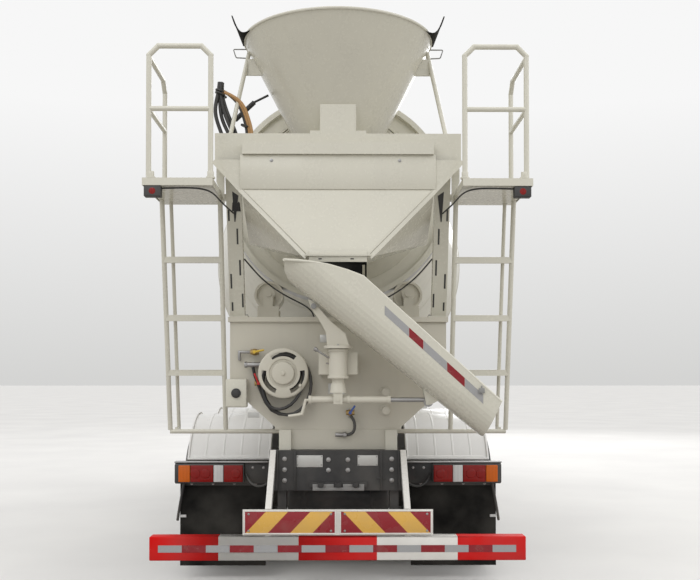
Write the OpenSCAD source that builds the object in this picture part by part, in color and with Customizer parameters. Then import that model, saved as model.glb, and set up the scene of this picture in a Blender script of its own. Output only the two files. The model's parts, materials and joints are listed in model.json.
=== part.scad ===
// Concrete mixer truck with three axles, a tilted drum and a swivelling rear chute.
// The truck faces +Y, +X is its right side, and the floor is at z = 0.

/* [Chassis] */
// Width between the outer faces of the two frame rails
frame_w = 850; // [780:10:900]
// Height of a frame rail
rail_h = 280; // [240:10:300]
// Thickness of the rail plate
rail_t = 10; // [8:1:14]
// Top of the frame rails above the floor
frame_top = 1000; // [980:5:1010]
// Height of the beams under the drum supports
subframe_h = 140; // [120:10:160]

/* [Axles and wheels] */
// Place of the steered front axle
front_axle_y = 2950; // [2930:10:2970]
// Place of the middle axle
mid_axle_y = -1100; // [-1110:10:-1090]
// Place of the rearmost axle
rear_axle_y = -2450; // [-2460:10:-2440]
// Outer radius of a tyre
tyre_r = 545; // [535:1:550]
// Width of a tyre
tyre_w = 300; // [270:5:310]
// Distance from the truck's middle to a front tyre's middle
front_track = 1020; // [1010:5:1040]
// Distance from the truck's middle to an outer rear tyre's middle
twin_outer_x = 1080; // [1070:5:1090]
// Distance between the middles of two twin tyres
twin_pitch = 340; // [330:5:350]
// Radius of the tyre seat on a rim
rim_r = 286; // [280:1:292]
// Radius of the spindle that a wheel turns on
spindle_r = 50; // [40:1:55]
// Radial running clearance of shafts and pins
run_fit = 0.05; // [0.03:0.01:0.08]

/* [Cab] */
// Half of the cab's width
cab_half_w = 1200; // [1180:5:1220]
// Rear wall of the cab
cab_rear_y = 2350; // [2330:5:2370]
// Front face of the cab
cab_front_y = 4360; // [4350:5:4365]
// Top of the roof
cab_roof_z = 2930; // [2900:10:2980]
// Thickness of cab walls and doors
cab_wall = 50; // [40:5:60]
// Thickness of the window glass
glass_t = 6; // [5:1:8]
// Gap round a door
door_gap = 8; // [6:1:10]

/* [Drum] */
// Tilt of the drum's axis
drum_tilt = 10.5; // [10:0.5:11]
// Radius of the drum's cylindrical middle
drum_r = 1170; // [1150:5:1180]
// Length of the cylindrical middle
drum_mid_l = 1300; // [1280:10:1320]
// Radius of the drum's open mouth
mouth_r = 500; // [490:5:505]
// Wall thickness of the drum
drum_t = 8; // [6:1:10]
// Radius of the running ring
ring_r = 860; // [850:5:865]
// Width of the running ring
ring_w = 100; // [80:5:110]
// Radius of a support roller
roller_r = 110; // [100:5:115]
// Sideways distance of a roller from the middle
roller_x = 530; // [520:5:540]

/* [Hopper and platforms] */
// Radius of the funnel's rim
funnel_r = 665; // [650:5:675]
// Height of the funnel's rim
funnel_z = 3880; // [3860:5:3890]
// Thickness of hopper and chute plates
plate_t = 6; // [5:1:8]
// Half width of the cross beam that carries the hopper
beam_half_w = 830; // [820:5:835]
// Diameter of the hand rail pipe
rail_pipe_d = 34; // [30:1:38]
// Diameter of a ladder stile
stile_d = 34; // [30:1:38]
// Top of the standing platforms
deck_z = 2784; // [2775:1:2790]

/* [Chute] */
// Distance of the chute's swivel axis behind the rear panel
chute_reach = 430; // [420:5:440]
// Slope of the chute's bottom at rest
chute_slope = 38.8; // [38:0.2:40]
// Width of the chute's trough at its outlet
chute_out_w = 400; // [380:10:420]
// Radius of the swivel column
column_r = 41; // [38:1:44]

/* [Rear end] */
// Rear face of the underrun bar
bar_y = -4250; // [-4260:5:-4240]
// Half length of the underrun bar
bar_half_w = 1225; // [1200:5:1230]
// Bottom of the underrun bar
bar_z = 320; // [315:5:330]
// Height of the underrun bar
bar_h = 155; // [140:5:160]

/* [Hidden] */
$fn = 48;

// Colours of the paints and bare materials
paint_white = "#ece9e2";
paint_cream = "#e3e0d6";
paint_black = "#1b1c1e";
rubber = "#17181a";
steel = "#8b8d90";
bumper_red = "#c2202a";

// Frame sizes worked out from the driving sizes
rail_flange = 80;
rail_x = frame_w / 2;
rail_bottom = frame_top - rail_h;
frame_rear = -3760;
frame_front = 4100;
sub_top = frame_top + subframe_h;
sub_in = 333;
sub_out = 417;
wheel_z = tyre_r;
twin_inner_x = twin_outer_x - twin_pitch;
king_x = 860;
king_r = 25;
fork_gap = 6;
eye_h = 130;
fork_t = 45;
king_pin_h = eye_h + 2 * fork_gap + 2 * fork_t;

// A box between two corners given as ranges
module block(x, y, z) {
  translate([x[0], y[0], z[0]]) cube([x[1] - x[0], y[1] - y[0], z[1] - z[0]]);
}

// A straight round bar from one point to another
module rod(a, b, r) {
  d = b - a;
  len = norm(d);
  translate(a) rotate([0, acos(d[2] / len), atan2(d[1], d[0])]) cylinder(r = r, h = len);
}

// A bent pipe through a list of points, with a ball at each bend
module pipe(points, r) {
  last = len(points) - 1;
  for (i = [0 : last - 1]) rod(points[i], points[i + 1], r);
  for (i = [1 : 1 : last - 1]) translate(points[i]) sphere(r = r * 1.06);
}

// A flat bar of width w along X and depth t between two points in a YZ plane
module strap(a, b, w, t) {
  d = b - a;
  len = norm(d);
  translate(a) rotate([0, acos(d[2] / len), atan2(d[1], d[0])]) translate([-t / 2, -w / 2, 0])
    cube([t, w, len]);
}

// The same shape on the right and on the left
module both_sides() {
  children();
  mirror([1, 0, 0]) children();
}

// A cylinder along X from x0 to x1
module bar_x(x, y, z, r) {
  translate([x[0], y, z]) rotate([0, 90, 0]) cylinder(r = r, h = x[1] - x[0]);
}

// A cylinder along Y
module bar_y_dir(x, y, z, r) {
  translate([x, y[1], z]) rotate([90, 0, 0]) cylinder(r = r, h = y[1] - y[0]);
}

// A side view outline [y, z] swept across the truck from x0 to x1
module side_sweep(x) {
  translate([x[0], 0, 0]) rotate([90, 0, 90]) linear_extrude(x[1] - x[0]) children();
}

// A rear view outline [x, z] swept along the truck from y0 to y1
module rear_sweep(y) {
  translate([0, y[1], 0]) rotate([90, 0, 0]) linear_extrude(y[1] - y[0]) children();
}

// Frame rails, crossmembers, cab pivots and the rear tow bracket
pivot_y = 4220;
pivot_z = 750;
pivot_r = 20;
tow_pin_y = frame_rear - 78;
tow_pin_r = 12;
module rail_outline() {
  difference() {
    translate([rail_x - rail_flange, rail_bottom]) square([rail_flange, rail_h]);
    translate([rail_x - rail_flange - 1, rail_bottom + rail_t])
      square([rail_flange + 1 - rail_t, rail_h - 2 * rail_t]);
  }
}
module frame() {
  color(paint_black) {
    difference() {
      union() {
        both_sides() {
          rear_sweep([frame_rear, frame_front]) rail_outline();
          // Cab pivot brackets at the front ends of the rails
          side_sweep([rail_x, rail_x + 22]) difference() {
            hull() {
              translate([pivot_y, pivot_z]) circle(r = 42);
              translate([frame_front - 200, rail_bottom + 20]) square([200, 90]);
            }
            translate([pivot_y, pivot_z]) circle(r = pivot_r + run_fit);
          }
          // Bumper brackets under the rails
          block([rail_x - rail_flange, rail_x], [frame_front - 160, bumper_y[0]],
                [bumper_z + 60, rail_bottom]);
          // Stays of the underrun bar
          block([rail_x - 60, rail_x], [frame_rear, frame_rear + 130], [bar_z + 60, rail_bottom]);
          block([rail_x - 60, rail_x], [bar_y + bar_depth, frame_rear + 130],
                [bar_z + 30, bar_z + 110]);
          // Brackets of the steering box and the front spring hangers
          for (y = [front_axle_y - spring_half, front_axle_y + spring_half])
            block([rail_x - 75, rail_x - 5], [y - 60, y + 60],
                  [spring_seat_z + 12 + spring_sag + 0.3, rail_bottom]);
        }
        // Crossmembers between the rails
        for (y = [-3000, -1775, -300, 1150, frame_front - 120])
          block([-rail_x + rail_t, rail_x - rail_t], [y - 35, y + 35],
                [rail_bottom + 40, frame_top - 60]);
        // Rear crossmember with the tow bracket
        block([-480, 480], [frame_rear - 40, frame_rear], [rail_bottom, frame_top]);
        block([-200, 200], [frame_rear - 62, frame_rear - 40], [745, 785]);
        for (x = [-140, -20, 100])
          block([x, x + 40], [frame_rear - 96, frame_rear - 40], [752, 778]);
        // Trunnion of the rear springs
        both_sides() {
          bar_x([rail_x - 60, rear_spring_x + 50], bogie_y, trunnion_z, trunnion_r);
          block([rail_x - 70, rail_x], [bogie_y - 100, bogie_y + 100], [trunnion_z - 60, rail_bottom]);
        }
      }
      // Pin hole in the middle tow lug, and holes in the crossmembers for the drive shafts
      translate([0, tow_pin_y, 700]) cylinder(r = tow_pin_r, h = 100);
      for (y = [-300, 1150]) bar_y_dir(0, [y - 60, y + 60], 820, 95);
    }
  }
}

// Steered front axle with its leaf springs
spring_half = 800;
spring_x = rail_x - 40;
spring_w = 76;
spring_seat_z = 596;
spring_sag = 62;
trunnion_z = 560;
trunnion_r = 48;
axle_pad_z = wheel_z + 75;
module leaf(half_l, sag, t, w) {
  // One leaf bent to a circle, its middle at the origin and its ends up by the sag
  r = (half_l * half_l + sag * sag) / (2 * sag);
  side_sweep([-w / 2, w / 2]) translate([0, r]) intersection() {
    difference() {
      circle(r = r + t, $fn = 200);
      circle(r = r, $fn = 200);
    }
    translate([-half_l, -r - t - 1]) square([2 * half_l, sag + t + 20]);
  }
}
module front_axle() {
  color(paint_black) {
    difference() {
      union() {
        // Drop beam with an I section
        difference() {
          block([-740, 740], [front_axle_y - 45, front_axle_y + 45], [410, 520]);
          for (side = [-1, 1])
            block([-700, 700], [front_axle_y + side * 35 - 20, front_axle_y + side * 35 + 20],
                  [432, 498]);
        }
        both_sides() {
          side_sweep([700, king_x - 20]) translate([front_axle_y - 45, 410])
            square([90, wheel_z + eye_h / 2 - 410]);
          translate([king_x, front_axle_y, wheel_z - eye_h / 2]) cylinder(r = 52, h = eye_h);
          block([spring_x - 50, spring_x + 50], [front_axle_y - 70, front_axle_y + 70],
                [515, spring_seat_z]);
        }
      }
      both_sides() translate([king_x, front_axle_y, 0]) cylinder(r = king_r + 0.5, h = 400);
      // Room for the knuckle's ears above and below the eye
      both_sides() for (z = [wheel_z - eye_h / 2 - 300, wheel_z + eye_h / 2])
        translate([king_x, front_axle_y, z]) cylinder(r = 75, h = 300);
    }
    both_sides() {
      translate([king_x, front_axle_y, wheel_z - king_pin_h / 2]) cylinder(r = king_r, h = king_pin_h);
      // Leaf packs and their clamps
      for (i = [0 : 2])
        translate([spring_x, front_axle_y, spring_seat_z + 12 + i * 14])
          leaf(spring_half - i * 170, spring_sag - i * 22, 12, spring_w);
      for (dy = [-45, 45])
        block([spring_x - 46, spring_x + 46], [front_axle_y + dy - 10, front_axle_y + dy + 10],
              [spring_seat_z - 6, spring_seat_z + 54]);
    }
  }
}

// Rear axles with banjo housings, springs and drive shafts
brake_r = 205;
tube_r = 65;
spindle_end = twin_outer_x + 30;
bogie_y = (mid_axle_y + rear_axle_y) / 2;
bogie_half = (mid_axle_y - rear_axle_y) / 2;
rear_spring_x = rail_x + 52;
module rear_axles() {
  color(paint_black) {
    for (y = [mid_axle_y, rear_axle_y]) {
      bar_x([-560, 560], 0 + y, wheel_z, tube_r);
      both_sides() {
        bar_x([555, spindle_end], y, wheel_z, spindle_r);
        bar_x([500, twin_inner_x - 190], y, wheel_z, 120);
        block([rear_spring_x - 50, rear_spring_x + 40], [y - 80, y + 80],
              [wheel_z + 40, axle_pad_z]);
      }
      // Banjo housing with its flat cover and drive head
      bar_y_dir(0, [y - 150, y + 150], wheel_z, 190);
      bar_y_dir(0, [y - 185, y + 200], wheel_z + 10, 110);
    }
    // Drive shafts from the gearbox to the axles
    rod([0, gearbox_rear_y - 60, shaft_z], [0, mid_axle_y + 195, wheel_z + 10], 48);
    rod([0, mid_axle_y - 180, wheel_z + 10], [0, rear_axle_y + 195, wheel_z + 10], 48);
    bar_y_dir(0, [gearbox_rear_y - 110, gearbox_rear_y], shaft_z, 75);
    // Bogie springs over the trunnion
    both_sides() {
      for (i = [0 : 3])
        block([rear_spring_x - 38, rear_spring_x + 38], [bogie_y - bogie_half - 70 + i * 130,
              bogie_y + bogie_half + 70 - i * 130],
              [axle_pad_z + i * 14, axle_pad_z + 14 + i * 14]);
      block([rear_spring_x - 50, rear_spring_x + 50], [bogie_y - 90, bogie_y + 90],
            [trunnion_z + trunnion_r + 0.3, axle_pad_z + 0.5]);
    }
  }
}

// Engine as one plain block with its feet and gearbox
engine_y = [2500, 3700];
gearbox_rear_y = 1700;
shaft_z = 830;
module engine() {
  color("dimgray") {
    block([-315, 315], engine_y, [610, 1400]);
    block([-190, 190], [gearbox_rear_y, engine_y[0] + 1], [690, 1090]);
    for (y = [2600, 3500])
      block([-rail_x + 12, rail_x - 12], [y, y + 90], [frame_top, frame_top + 40]);
  }
}

// Fuel tank, battery box and air tanks on the rail sides
tank_y = [250, 1350];
module side_tanks() {
  color("silver") {
    // Fuel tank with round corners and two straps on the left
    difference() {
      hull() for (x = [-1090, -620], z = [560, 900])
        translate([x, tank_y[0], z]) rotate([-90, 0, 0])
          cylinder(r = 70, h = tank_y[1] - tank_y[0], $fn = 32);
      block([-1200, -500], [tank_y[0] - 1, tank_y[0] + 4], [480, 980]);
    }
    for (y = [tank_y[0] + 200, tank_y[1] - 250])
      block([-560, -rail_x], [y, y + 60], [600, 900]);
  }
  color(paint_black) {
    // Battery box on the right with its lid
    block([rail_x, 1080], [700, 1330], [600, 900]);
    block([rail_x + 40, 1100], [690, 1340], [900, 925]);
    // Two air tanks
    for (z = [610, 880]) {
      bar_y_dir(780, [-190, 560], z, 115);
      for (y = [-60, 380]) block([rail_x, 700], [y, y + 40], [z - 20, max(z + 20, rail_bottom + 40)]);
    }
  }
}

// Front bumper with pockets for the lamps
bumper_z = 330;
bumper_h = 330;
bumper_y = [4120, 4424];
lamp_x = [830, 1130];
module bumper_plan(inset) {
  hull() {
    for (side = [-1, 1])
      translate([side * (1250 - 150), bumper_y[1] - 150]) circle(r = 150 - inset, $fn = 96);
    translate([-1250 + inset, bumper_y[0]]) square([2500 - 2 * inset, 50]);
  }
}
module front_bumper() {
  color(paint_black) difference() {
    translate([0, 0, bumper_z]) linear_extrude(bumper_h) bumper_plan(0);
    translate([0, 0, bumper_z + 8]) linear_extrude(bumper_h - 16) intersection() {
      bumper_plan(8);
      translate([-2000, bumper_y[0] - 50]) square([4000, 262]);
    }
    block([-1200, 1200], [bumper_y[0] - 1, bumper_y[0] + 262], [bumper_z + 8, bumper_z + bumper_h - 8]);
    both_sides() block(lamp_x, [4300, 4500], [430, 580]);
    block([-420, 420], [4300, 4500], [400, 560]);
    for (x = [-280, 280]) block([x - 40, x + 40], [4300, 4500], [585, 625]);
  }
}

// Head lamps, side lamps and tail lamps
tail_y = -3400;
tail_z = [730, 863];
tail_x = [706, 1210];
module lamps() {
  both_sides() {
    color("whitesmoke") intersection() {
      block([lamp_x[0] + 0.3, lamp_x[1] - 0.3], [4340, 4415], [430.3, 579.7]);
      translate([0, 0, 400]) linear_extrude(300) bumper_plan(6);
    }
    color("#8e1520") block([tail_x[0], tail_x[1] - 90], [tail_y, tail_y + 60], tail_z);
    color("orange") block([tail_x[1] - 90, tail_x[1]], [tail_y, tail_y + 60], tail_z);
    color(paint_black) {
      block([500, tail_x[1] + 12], [tail_y + 60, tail_y + 90], [tail_z[0] - 14, tail_z[1] + 22]);
      block([rail_x, 520], [tail_y + 60, tail_y + 90], [tail_z[0] + 30, tail_z[1]]);
    }
  }
}

// Steps and front wings on the frame, ahead of and behind the front wheels
step_y = [3650, 4080];
step_x = [900, 1220];
wing_r = 668;
module front_steps() {
  both_sides() {
    color(paint_black) {
      difference() {
        block(step_x, step_y, [360, 960]);
        for (z = [[390, 640], [680, 930]])
          block([step_x[0] + 40, step_x[1] + 1], [step_y[0] + 30, step_y[1] - 30], z);
      }
      block([rail_x + 22, step_x[0]], [3900, 3980], [rail_bottom + 40, rail_bottom + 120]);
      // Mudguard behind the wheel
      side_sweep([760, 1190]) intersection() {
        translate([front_axle_y, wheel_z]) difference() {
          circle(r = wing_r, $fn = 160);
          circle(r = wing_r - 6, $fn = 160);
        }
        translate([2200, 400]) square([220, 540]);
      }
      bar_x([rail_x, 800], front_axle_y - wing_r + 60, 860, 18);
    }
  }
}

// Red and white underrun bar, a box section with square ends
bar_depth = 110;
module underrun_bar() {
  edges = [-1225, -800, -275, 245, 777, 1225];
  for (i = [0 : 4])
    color(i % 2 == 0 ? bumper_red : paint_white)
      block([edges[i] * bar_half_w / 1225, edges[i + 1] * bar_half_w / 1225],
            [bar_y, bar_y + bar_depth], [bar_z, bar_z + bar_h]);
}

// Marker board with two bare plates, and its stays
board_half_w = 620;
board_z = [483, 650];
module marker_board() {
  color(paint_white) {
    block([-board_half_w, board_half_w], [bar_y + 8, bar_y + 20], board_z);
    both_sides() {
      difference() {
        strap([455, bar_y + 40, board_z[1] - 20], [455, frame_rear, frame_top - 2], 40, 60);
        block([0, 600], [frame_rear - 40, frame_rear + 100], [0, 1200]);
      }
      block([437, 473], [bar_y + 19, bar_y + 60], [bar_z + bar_h, board_z[1] - 10]);
    }
  }
  color("firebrick") for (x = [-607, 13]) block([x, x + 594], [bar_y, bar_y + 8], [495, 640]);
}

// Arched wings over the twin wheels, with their carrying rods
fender_r = wheel_z + 117;
fender_x = [530, 1180];
fender_t = 5;
module rear_fenders() {
  // The arcs end this far above the wheel's middle
  end_z = wheel_z + fender_r * sin(30);
  color(paint_white) both_sides() {
    side_sweep(fender_x) {
      for (y = [mid_axle_y, rear_axle_y]) intersection() {
        translate([y, wheel_z]) difference() {
          circle(r = fender_r, $fn = 160);
          circle(r = fender_r - fender_t, $fn = 160);
        }
        translate([y - 1000, end_z]) square([2000, 1000]);
      }
      translate([rear_axle_y + fender_r * cos(30) - 6, end_z])
        square([mid_axle_y - rear_axle_y - 2 * fender_r * cos(30) + 12, fender_t]);
    }
  }
  color(paint_black) both_sides() {
    for (y = [rear_axle_y - fender_r * cos(30) + 19, mid_axle_y + fender_r * cos(30) - 19])
      bar_x([rail_x, fender_x[1] - 40], y, end_z + 6, 18);
    bar_x([rail_x, fender_x[1] - 40], bogie_y, end_z - 17, 18);
  }
}

// Rubber mud flaps, splash flaps at the funnel and the skirt under the collector
flap_y = tail_y + 98;
flap_turn = 13;
module rubber_flaps() {
  color(rubber) {
    both_sides() {
      block([545, 1187], [flap_y - 8, flap_y], [100, tail_z[0] + 40]);
      // Splash flap standing against the side of the funnel's rim
      translate([0, funnel_y, 0]) rotate(-flap_turn) side_sweep([funnel_r + 5, funnel_r + 11])
        polygon([[150, funnel_z - 30], [150, funnel_z - 8], [-90, funnel_z + 60],
                 [-170, 3994], [-150, funnel_z - 30]]);
    }
    difference() {
      block([-skirt_half, skirt_half], [chute_y - skirt_depth, chute_y + skirt_depth],
            [skirt_bottom, skirt_top]);
      block([-skirt_half + 6, skirt_half - 6], [chute_y - skirt_depth + 6, chute_y + skirt_depth - 6],
            [skirt_bottom - 1, skirt_top + 1]);
      // Slits between the flaps, clear of the turning chute's lip
      for (x = [-220, 160], y = [-180, 100])
        translate([x, chute_y + y, skirt_bottom - 1]) cube([60, 80, 121]);
    }
  }
}
outlet_half = 195;
skirt_top = 2320;
skirt_bottom = 2155;
skirt_half = outlet_half - plate_t - 0.3;
skirt_depth = 140 - plate_t - 0.3;

// Beams that carry the drum's supports
module subframe() {
  color(paint_white) both_sides() {
    difference() {
      block([sub_in, sub_out], [frame_rear + 10, 1760], [frame_top, sub_top]);
      block([sub_in + 8, sub_out + 1], [frame_rear + 18, 1752], [frame_top + 8, sub_top - 8]);
    }
    for (y = [-3200, -2200, -1200, -200, 800, 1600])
      block([sub_in + 7, sub_out - 4], [y, y + 10], [frame_top + 7, sub_top - 7]);
  }
}

// The drum's axis: local Z runs forward along it and local Y points down
drum_joint = [0, -1330, 2610];
mouth_s = -2156;
ring_s = -1749;
front_s = drum_mid_l + 1250;
cone_end_r = 720;
module on_drum_axis(s) {
  translate(drum_joint) rotate([-90 - drum_tilt, 0, 0]) translate([0, 0, s]) children();
}
ring_gap = 0.5;
roller_down = sqrt(pow(ring_r + roller_r + ring_gap, 2) - pow(roller_x, 2));

// Gearbox at the drum's front end, with its motor
gear_s = front_s + 215;
gear_l = 330;
output_r = 70;
module drum_drive() {
  color(steel) on_drum_axis(0) {
    difference() {
      union() {
        translate([0, 0, gear_s]) cylinder(r = 235, h = 70);
        translate([0, 0, gear_s + 70]) cylinder(r = 200, h = gear_l - 70);
        translate([0, 150, gear_s + gear_l - 1]) cylinder(r = 95, h = 190);
        for (a = [0 : 45 : 315]) rotate(a) translate([218, 0, gear_s - 12]) cylinder(r = 11, h = 13);
      }
      translate([0, 0, gear_s - 1]) cylinder(r = output_r + run_fit, h = 140);
    }
    // Feet on the pedestal
    for (side = [-1, 1]) translate([side * 170 - 50, 120, gear_s + 60]) cube([100, 140, 200]);
  }
}

// Pedestal that carries the gearbox
pedestal_y = [1330, 1740];
pedestal_top = 1862;
module front_pedestal() {
  color(paint_white) difference() {
    union() {
      both_sides() side_sweep([sub_in + 20, sub_in + 32])
        polygon([[pedestal_y[0] - 240, sub_top], [pedestal_y[1], sub_top],
                 [pedestal_y[1], sub_top + 120], [pedestal_y[1] - 40, pedestal_top - 60],
                 [pedestal_y[0] + 20, pedestal_top], [pedestal_y[0], pedestal_top - 10]]);
      // Sloping saddle plate, cross plates and foot plates
      on_drum_axis(gear_s) translate([-sub_in - 30, 260, 30]) cube([2 * sub_in + 60, 14, 290]);
      block([-sub_in - 20, sub_in + 20], [pedestal_y[0] + 60, pedestal_y[0] + 72],
            [sub_top, pedestal_top - 60]);
      block([-sub_in - 20, sub_in + 20], [pedestal_y[1] - 60, pedestal_y[1] - 48],
            [sub_top, pedestal_top - 110]);
      both_sides() block([sub_in, sub_out + 20], [pedestal_y[0] - 240, pedestal_y[1]],
                         [sub_top, sub_top + 12]);
    }
    // Everything above the underside of the gearbox feet
    on_drum_axis(gear_s) translate([-600, -540, -400]) cube([1200, 800, 1000]);
    bar_y_dir(0, [pedestal_y[0], pedestal_y[1]], 1420, 150);
  }
}

// Water tank across the truck behind the cab
water_y = 1985;
water_z = 1480;
water_r = 220;
water_x = [-960, 560];
water_l = water_x[1] - water_x[0];
module water_tank() {
  color(paint_white) {
    // Shell with dished ends
    translate([water_x[0], water_y, water_z]) rotate([0, 90, 0]) rotate_extrude($fn = 96)
      polygon([[0, -60], [110, -48], [180, -24], [water_r, 10], [water_r, water_l - 10],
               [180, water_l + 24], [110, water_l + 48], [0, water_l + 60]]);
    translate([0, water_y, water_z + water_r - 12]) cylinder(r = 45, h = 60);
  }
  color(paint_black) for (x = [-400, 320]) {
    block([x, x + 60], [water_y - 150, water_y + 150], [frame_top, water_z - water_r + 30]);
  }
}

// Air intake stack and exhaust silencer behind the cab
module air_intake() {
  color(paint_black) {
    block([740, 1000], [1960, 2220], [1250, 2500]);
    block([700, 1040], [1930, 2250], [2500, 2860]);
    bar_x([640, 741], 2090, 1350, 90);
    block([rail_x - 20, 800], [2060, 2120], [frame_top, 1050]);
    block([760, 820], [2060, 2120], [1040, 1251]);
    // Silencer below the left rail with its tail pipe
    bar_y_dir(-800, [1550, 2150], 700, 150);
    pipe([[-800, 1560, 700], [-800, 1480, 700], [-1080, 1480, 640]], 45);
    for (y = [1650, 2000]) block([-700, -rail_x], [y, y + 40], [760, 810]);
  }
}

// Cross panel behind the drum with its side walls and the roller stands
panel_y = -3700;
panel_top = 1940;
panel_half = 770;
panel_front = -3150;
cheek_t = 22;
chute_y = panel_y - chute_reach;
sleeve_z = [1510, 1700];
module panel_outline(inset) {
  polygon([[-panel_half + inset, panel_top], [panel_half - inset, panel_top],
           [panel_half - inset, 1450], [450 - inset, sub_top + 20], [450 - inset, sub_top],
           [-450 + inset, sub_top], [-450 + inset, sub_top + 20], [-panel_half + inset, 1450]]);
}
module roller_cheek() {
  // Bearing plates before and behind a roller, on the drum's axis
  for (s = [-ring_w / 2 - 16 - cheek_t, ring_w / 2 + 16])
    translate([0, 0, s]) difference() {
      union() {
        cylinder(r = 48, h = cheek_t);
        translate([-36, 0, 0]) cube([72, 235, cheek_t]);
        translate([-80, 95, 0]) cube([160, 140, cheek_t]);
      }
      translate([0, 0, -1]) cylinder(r = 25 + run_fit, h = cheek_t + 2);
    }
}
module rear_support() {
  color(paint_cream) {
    difference() {
      union() {
        rear_sweep([panel_y, panel_front]) panel_outline(0);
        // Lip round the top of the panel
        block([-panel_half - 12, panel_half + 12], [panel_y - 24, panel_front + 12],
              [panel_top - 34, panel_top]);
        // Bottom edge between the beams
        block([-sub_in, sub_in], [panel_y - 10, panel_y + 30], [frame_top, sub_top + 1]);
        difference() {
          for (side = [-1, 1])
            on_drum_axis(ring_s) translate([side * roller_x, roller_down, 0]) roller_cheek();
          block([-900, 900], [-4000, -2500], [1500, panel_top - 2]);
        }
        // Bracket and sleeve of the chute's column
        block([-130, 130], [chute_y + 40, panel_y + 1], [sleeve_z[0] + 20, sleeve_z[1] - 20]);
        translate([0, chute_y, sleeve_z[0]])
          cylinder(r = 62, h = sleeve_z[1] - sleeve_z[0]);
      }
      // The hollow inside, open below and at the front
      rear_sweep([panel_y + 10, panel_front + 40]) intersection() {
        panel_outline(10);
        translate([-900, 900]) square([1800, panel_top - 910]);
      }
      translate([0, chute_y, sleeve_z[0] - 1]) cylinder(r = column_r + run_fit, h = 300);
    }
  }
}

// Leaning posts and the cross beam that carries the hopper
post_x = 720;
post_foot = [panel_y + 20, panel_top];
post_head = [-4000, 2985];
beam_y = [-4080, -3920];
beam_z = [2967, 3155];
module hopper_frame() {
  color(paint_white) {
    both_sides() {
      difference() {
        hull() {
          block([post_x - 52, post_x + 52], [post_foot[0], post_foot[0] + 80],
                [post_foot[1], post_foot[1] + 1]);
          block([post_x - 52, post_x + 52], [post_head[0], post_head[0] + 80], [beam_z[0], beam_z[0] + 1]);
        }
        hull() {
          block([post_x - 44, post_x + 44], [post_foot[0] + 8, post_foot[0] + 81],
                [post_foot[1] + 30, post_foot[1] + 31]);
          block([post_x - 44, post_x + 44], [post_head[0] + 8, post_head[0] + 81],
                [beam_z[0] - 20, beam_z[0] - 19]);
        }
      }
      block([post_x - 75, post_x + 50], [panel_y, panel_y + 130], [panel_top, panel_top + 12]);
    }
    // Cross beam, a box section open below
    difference() {
      block([-beam_half_w, beam_half_w], beam_y, beam_z);
      block([-beam_half_w + 8, beam_half_w - 8], [beam_y[0] + 8, beam_y[1] - 8],
            [beam_z[0] + 1, beam_z[1] - 8]);
      // Notch in the front edge, clear of the funnel's foot
      translate([0, funnel_foot[1], beam_z[1] - 70]) cylinder(r = funnel_foot_r + 38, h = 100);
    }
    // Braces from the beam's ends up to the funnel's rim
    both_sides() {
      difference() {
        union() {
          rod([beam_half_w - 88, beam_y[1] - 56, beam_z[1] - 4],
              [funnel_r - 32, funnel_y - 2, funnel_z - 62], 15, $fn = 12);
          block([funnel_r - 150, funnel_r - 12], [funnel_y - 40, funnel_y - 24],
                [funnel_z - 235, funnel_z - 120]);
        }
        funnel_cone(-0.3);
      }
    }
  }
}

// Collector under the mouth: upright rear panel, then a tapering hopper down to the outlet
collector_rear = -4120;
outlet_z = 2290;
collector_half = 645;
flare_front = -4004;
module collector_body(t) {
  // Outer form at t = 0, inner form at t = plate thickness
  hull() {
    block([-collector_half + t, collector_half - t], [collector_rear + t, -3560 - t],
          [2769, 2770]);
    block([-outlet_half + t, outlet_half - t], [-4270 + t, -3990 - t], [outlet_z, outlet_z + 1]);
    block([-collector_half + t, collector_half - t], [-3600, -3560 - t], [2480 + t, 2481 + t]);
  }
  hull() {
    block([-collector_half + t, collector_half - t], [collector_rear + t, -3560 - t],
          [2769, 2770]);
    block([-collector_half + t, collector_half - t], [collector_rear + t, flare_front - t],
          [beam_z[0] - 1, beam_z[0]]);
  }
  // The upper part widens behind the posts
  hull() {
    block([-collector_half + t, collector_half - t], [collector_rear + t, flare_front - t],
          [2769, 2770]);
    block([-beam_half_w + 4 + t, beam_half_w - 4 - t], [collector_rear + t, flare_front - t],
          [beam_z[0] - 1, beam_z[0]]);
  }
}
module collector() {
  color(paint_white) difference() {
    union() {
      collector_body(0);
      block([-640, 640], [-4150, beam_y[0]], [3000, 3080]);
      block([-600, 600], [collector_rear, collector_rear + 8], [2960, 3002]);
      block([-outlet_half - 20, outlet_half + 20], [-4290, -3970], [outlet_z + 10, outlet_z + 22]);
    }
    collector_body(plate_t);
    block([-outlet_half + plate_t, outlet_half - plate_t], [-4270 + plate_t, -3990 - plate_t],
          [outlet_z - 20, outlet_z + 40]);
    // Clear of the drum's mouth and of the spout
    on_drum_axis(mouth_s - 60) cylinder(r = mouth_r + 70, h = 500);
    spout(-8, 60);
  }
}

// Charging funnel with its spout into the drum's mouth
funnel_y = -3750;
funnel_foot = [0, -3655, 3150];
spout_r = 270;
funnel_foot_r = 280;
module funnel_cone(t) {
  // Oblique cone: its rings stay level while their centres shift back with height
  shift = (funnel_y - funnel_foot[1]) / (funnel_z - funnel_foot[2]);
  translate(funnel_foot) multmatrix([[1, 0, 0, 0], [0, 1, shift, 0], [0, 0, 1, 0], [0, 0, 0, 1]])
    cylinder(r1 = funnel_foot_r - t, r2 = funnel_r - t, h = funnel_z - funnel_foot[2], $fn = 96);
}
module spout(t, extra) {
  on_drum_axis(mouth_s - 300 - extra) translate([0, -125, 0])
    cylinder(r = spout_r - t, h = 480 + 2 * extra, $fn = 64);
}
module funnel_front_cut() {
  // What lies ahead of the mouth's plane below the rim part
  on_drum_axis(mouth_s - 40) translate([-900, -1400, 0]) cube([1800, 2800, 900]);
}
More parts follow.
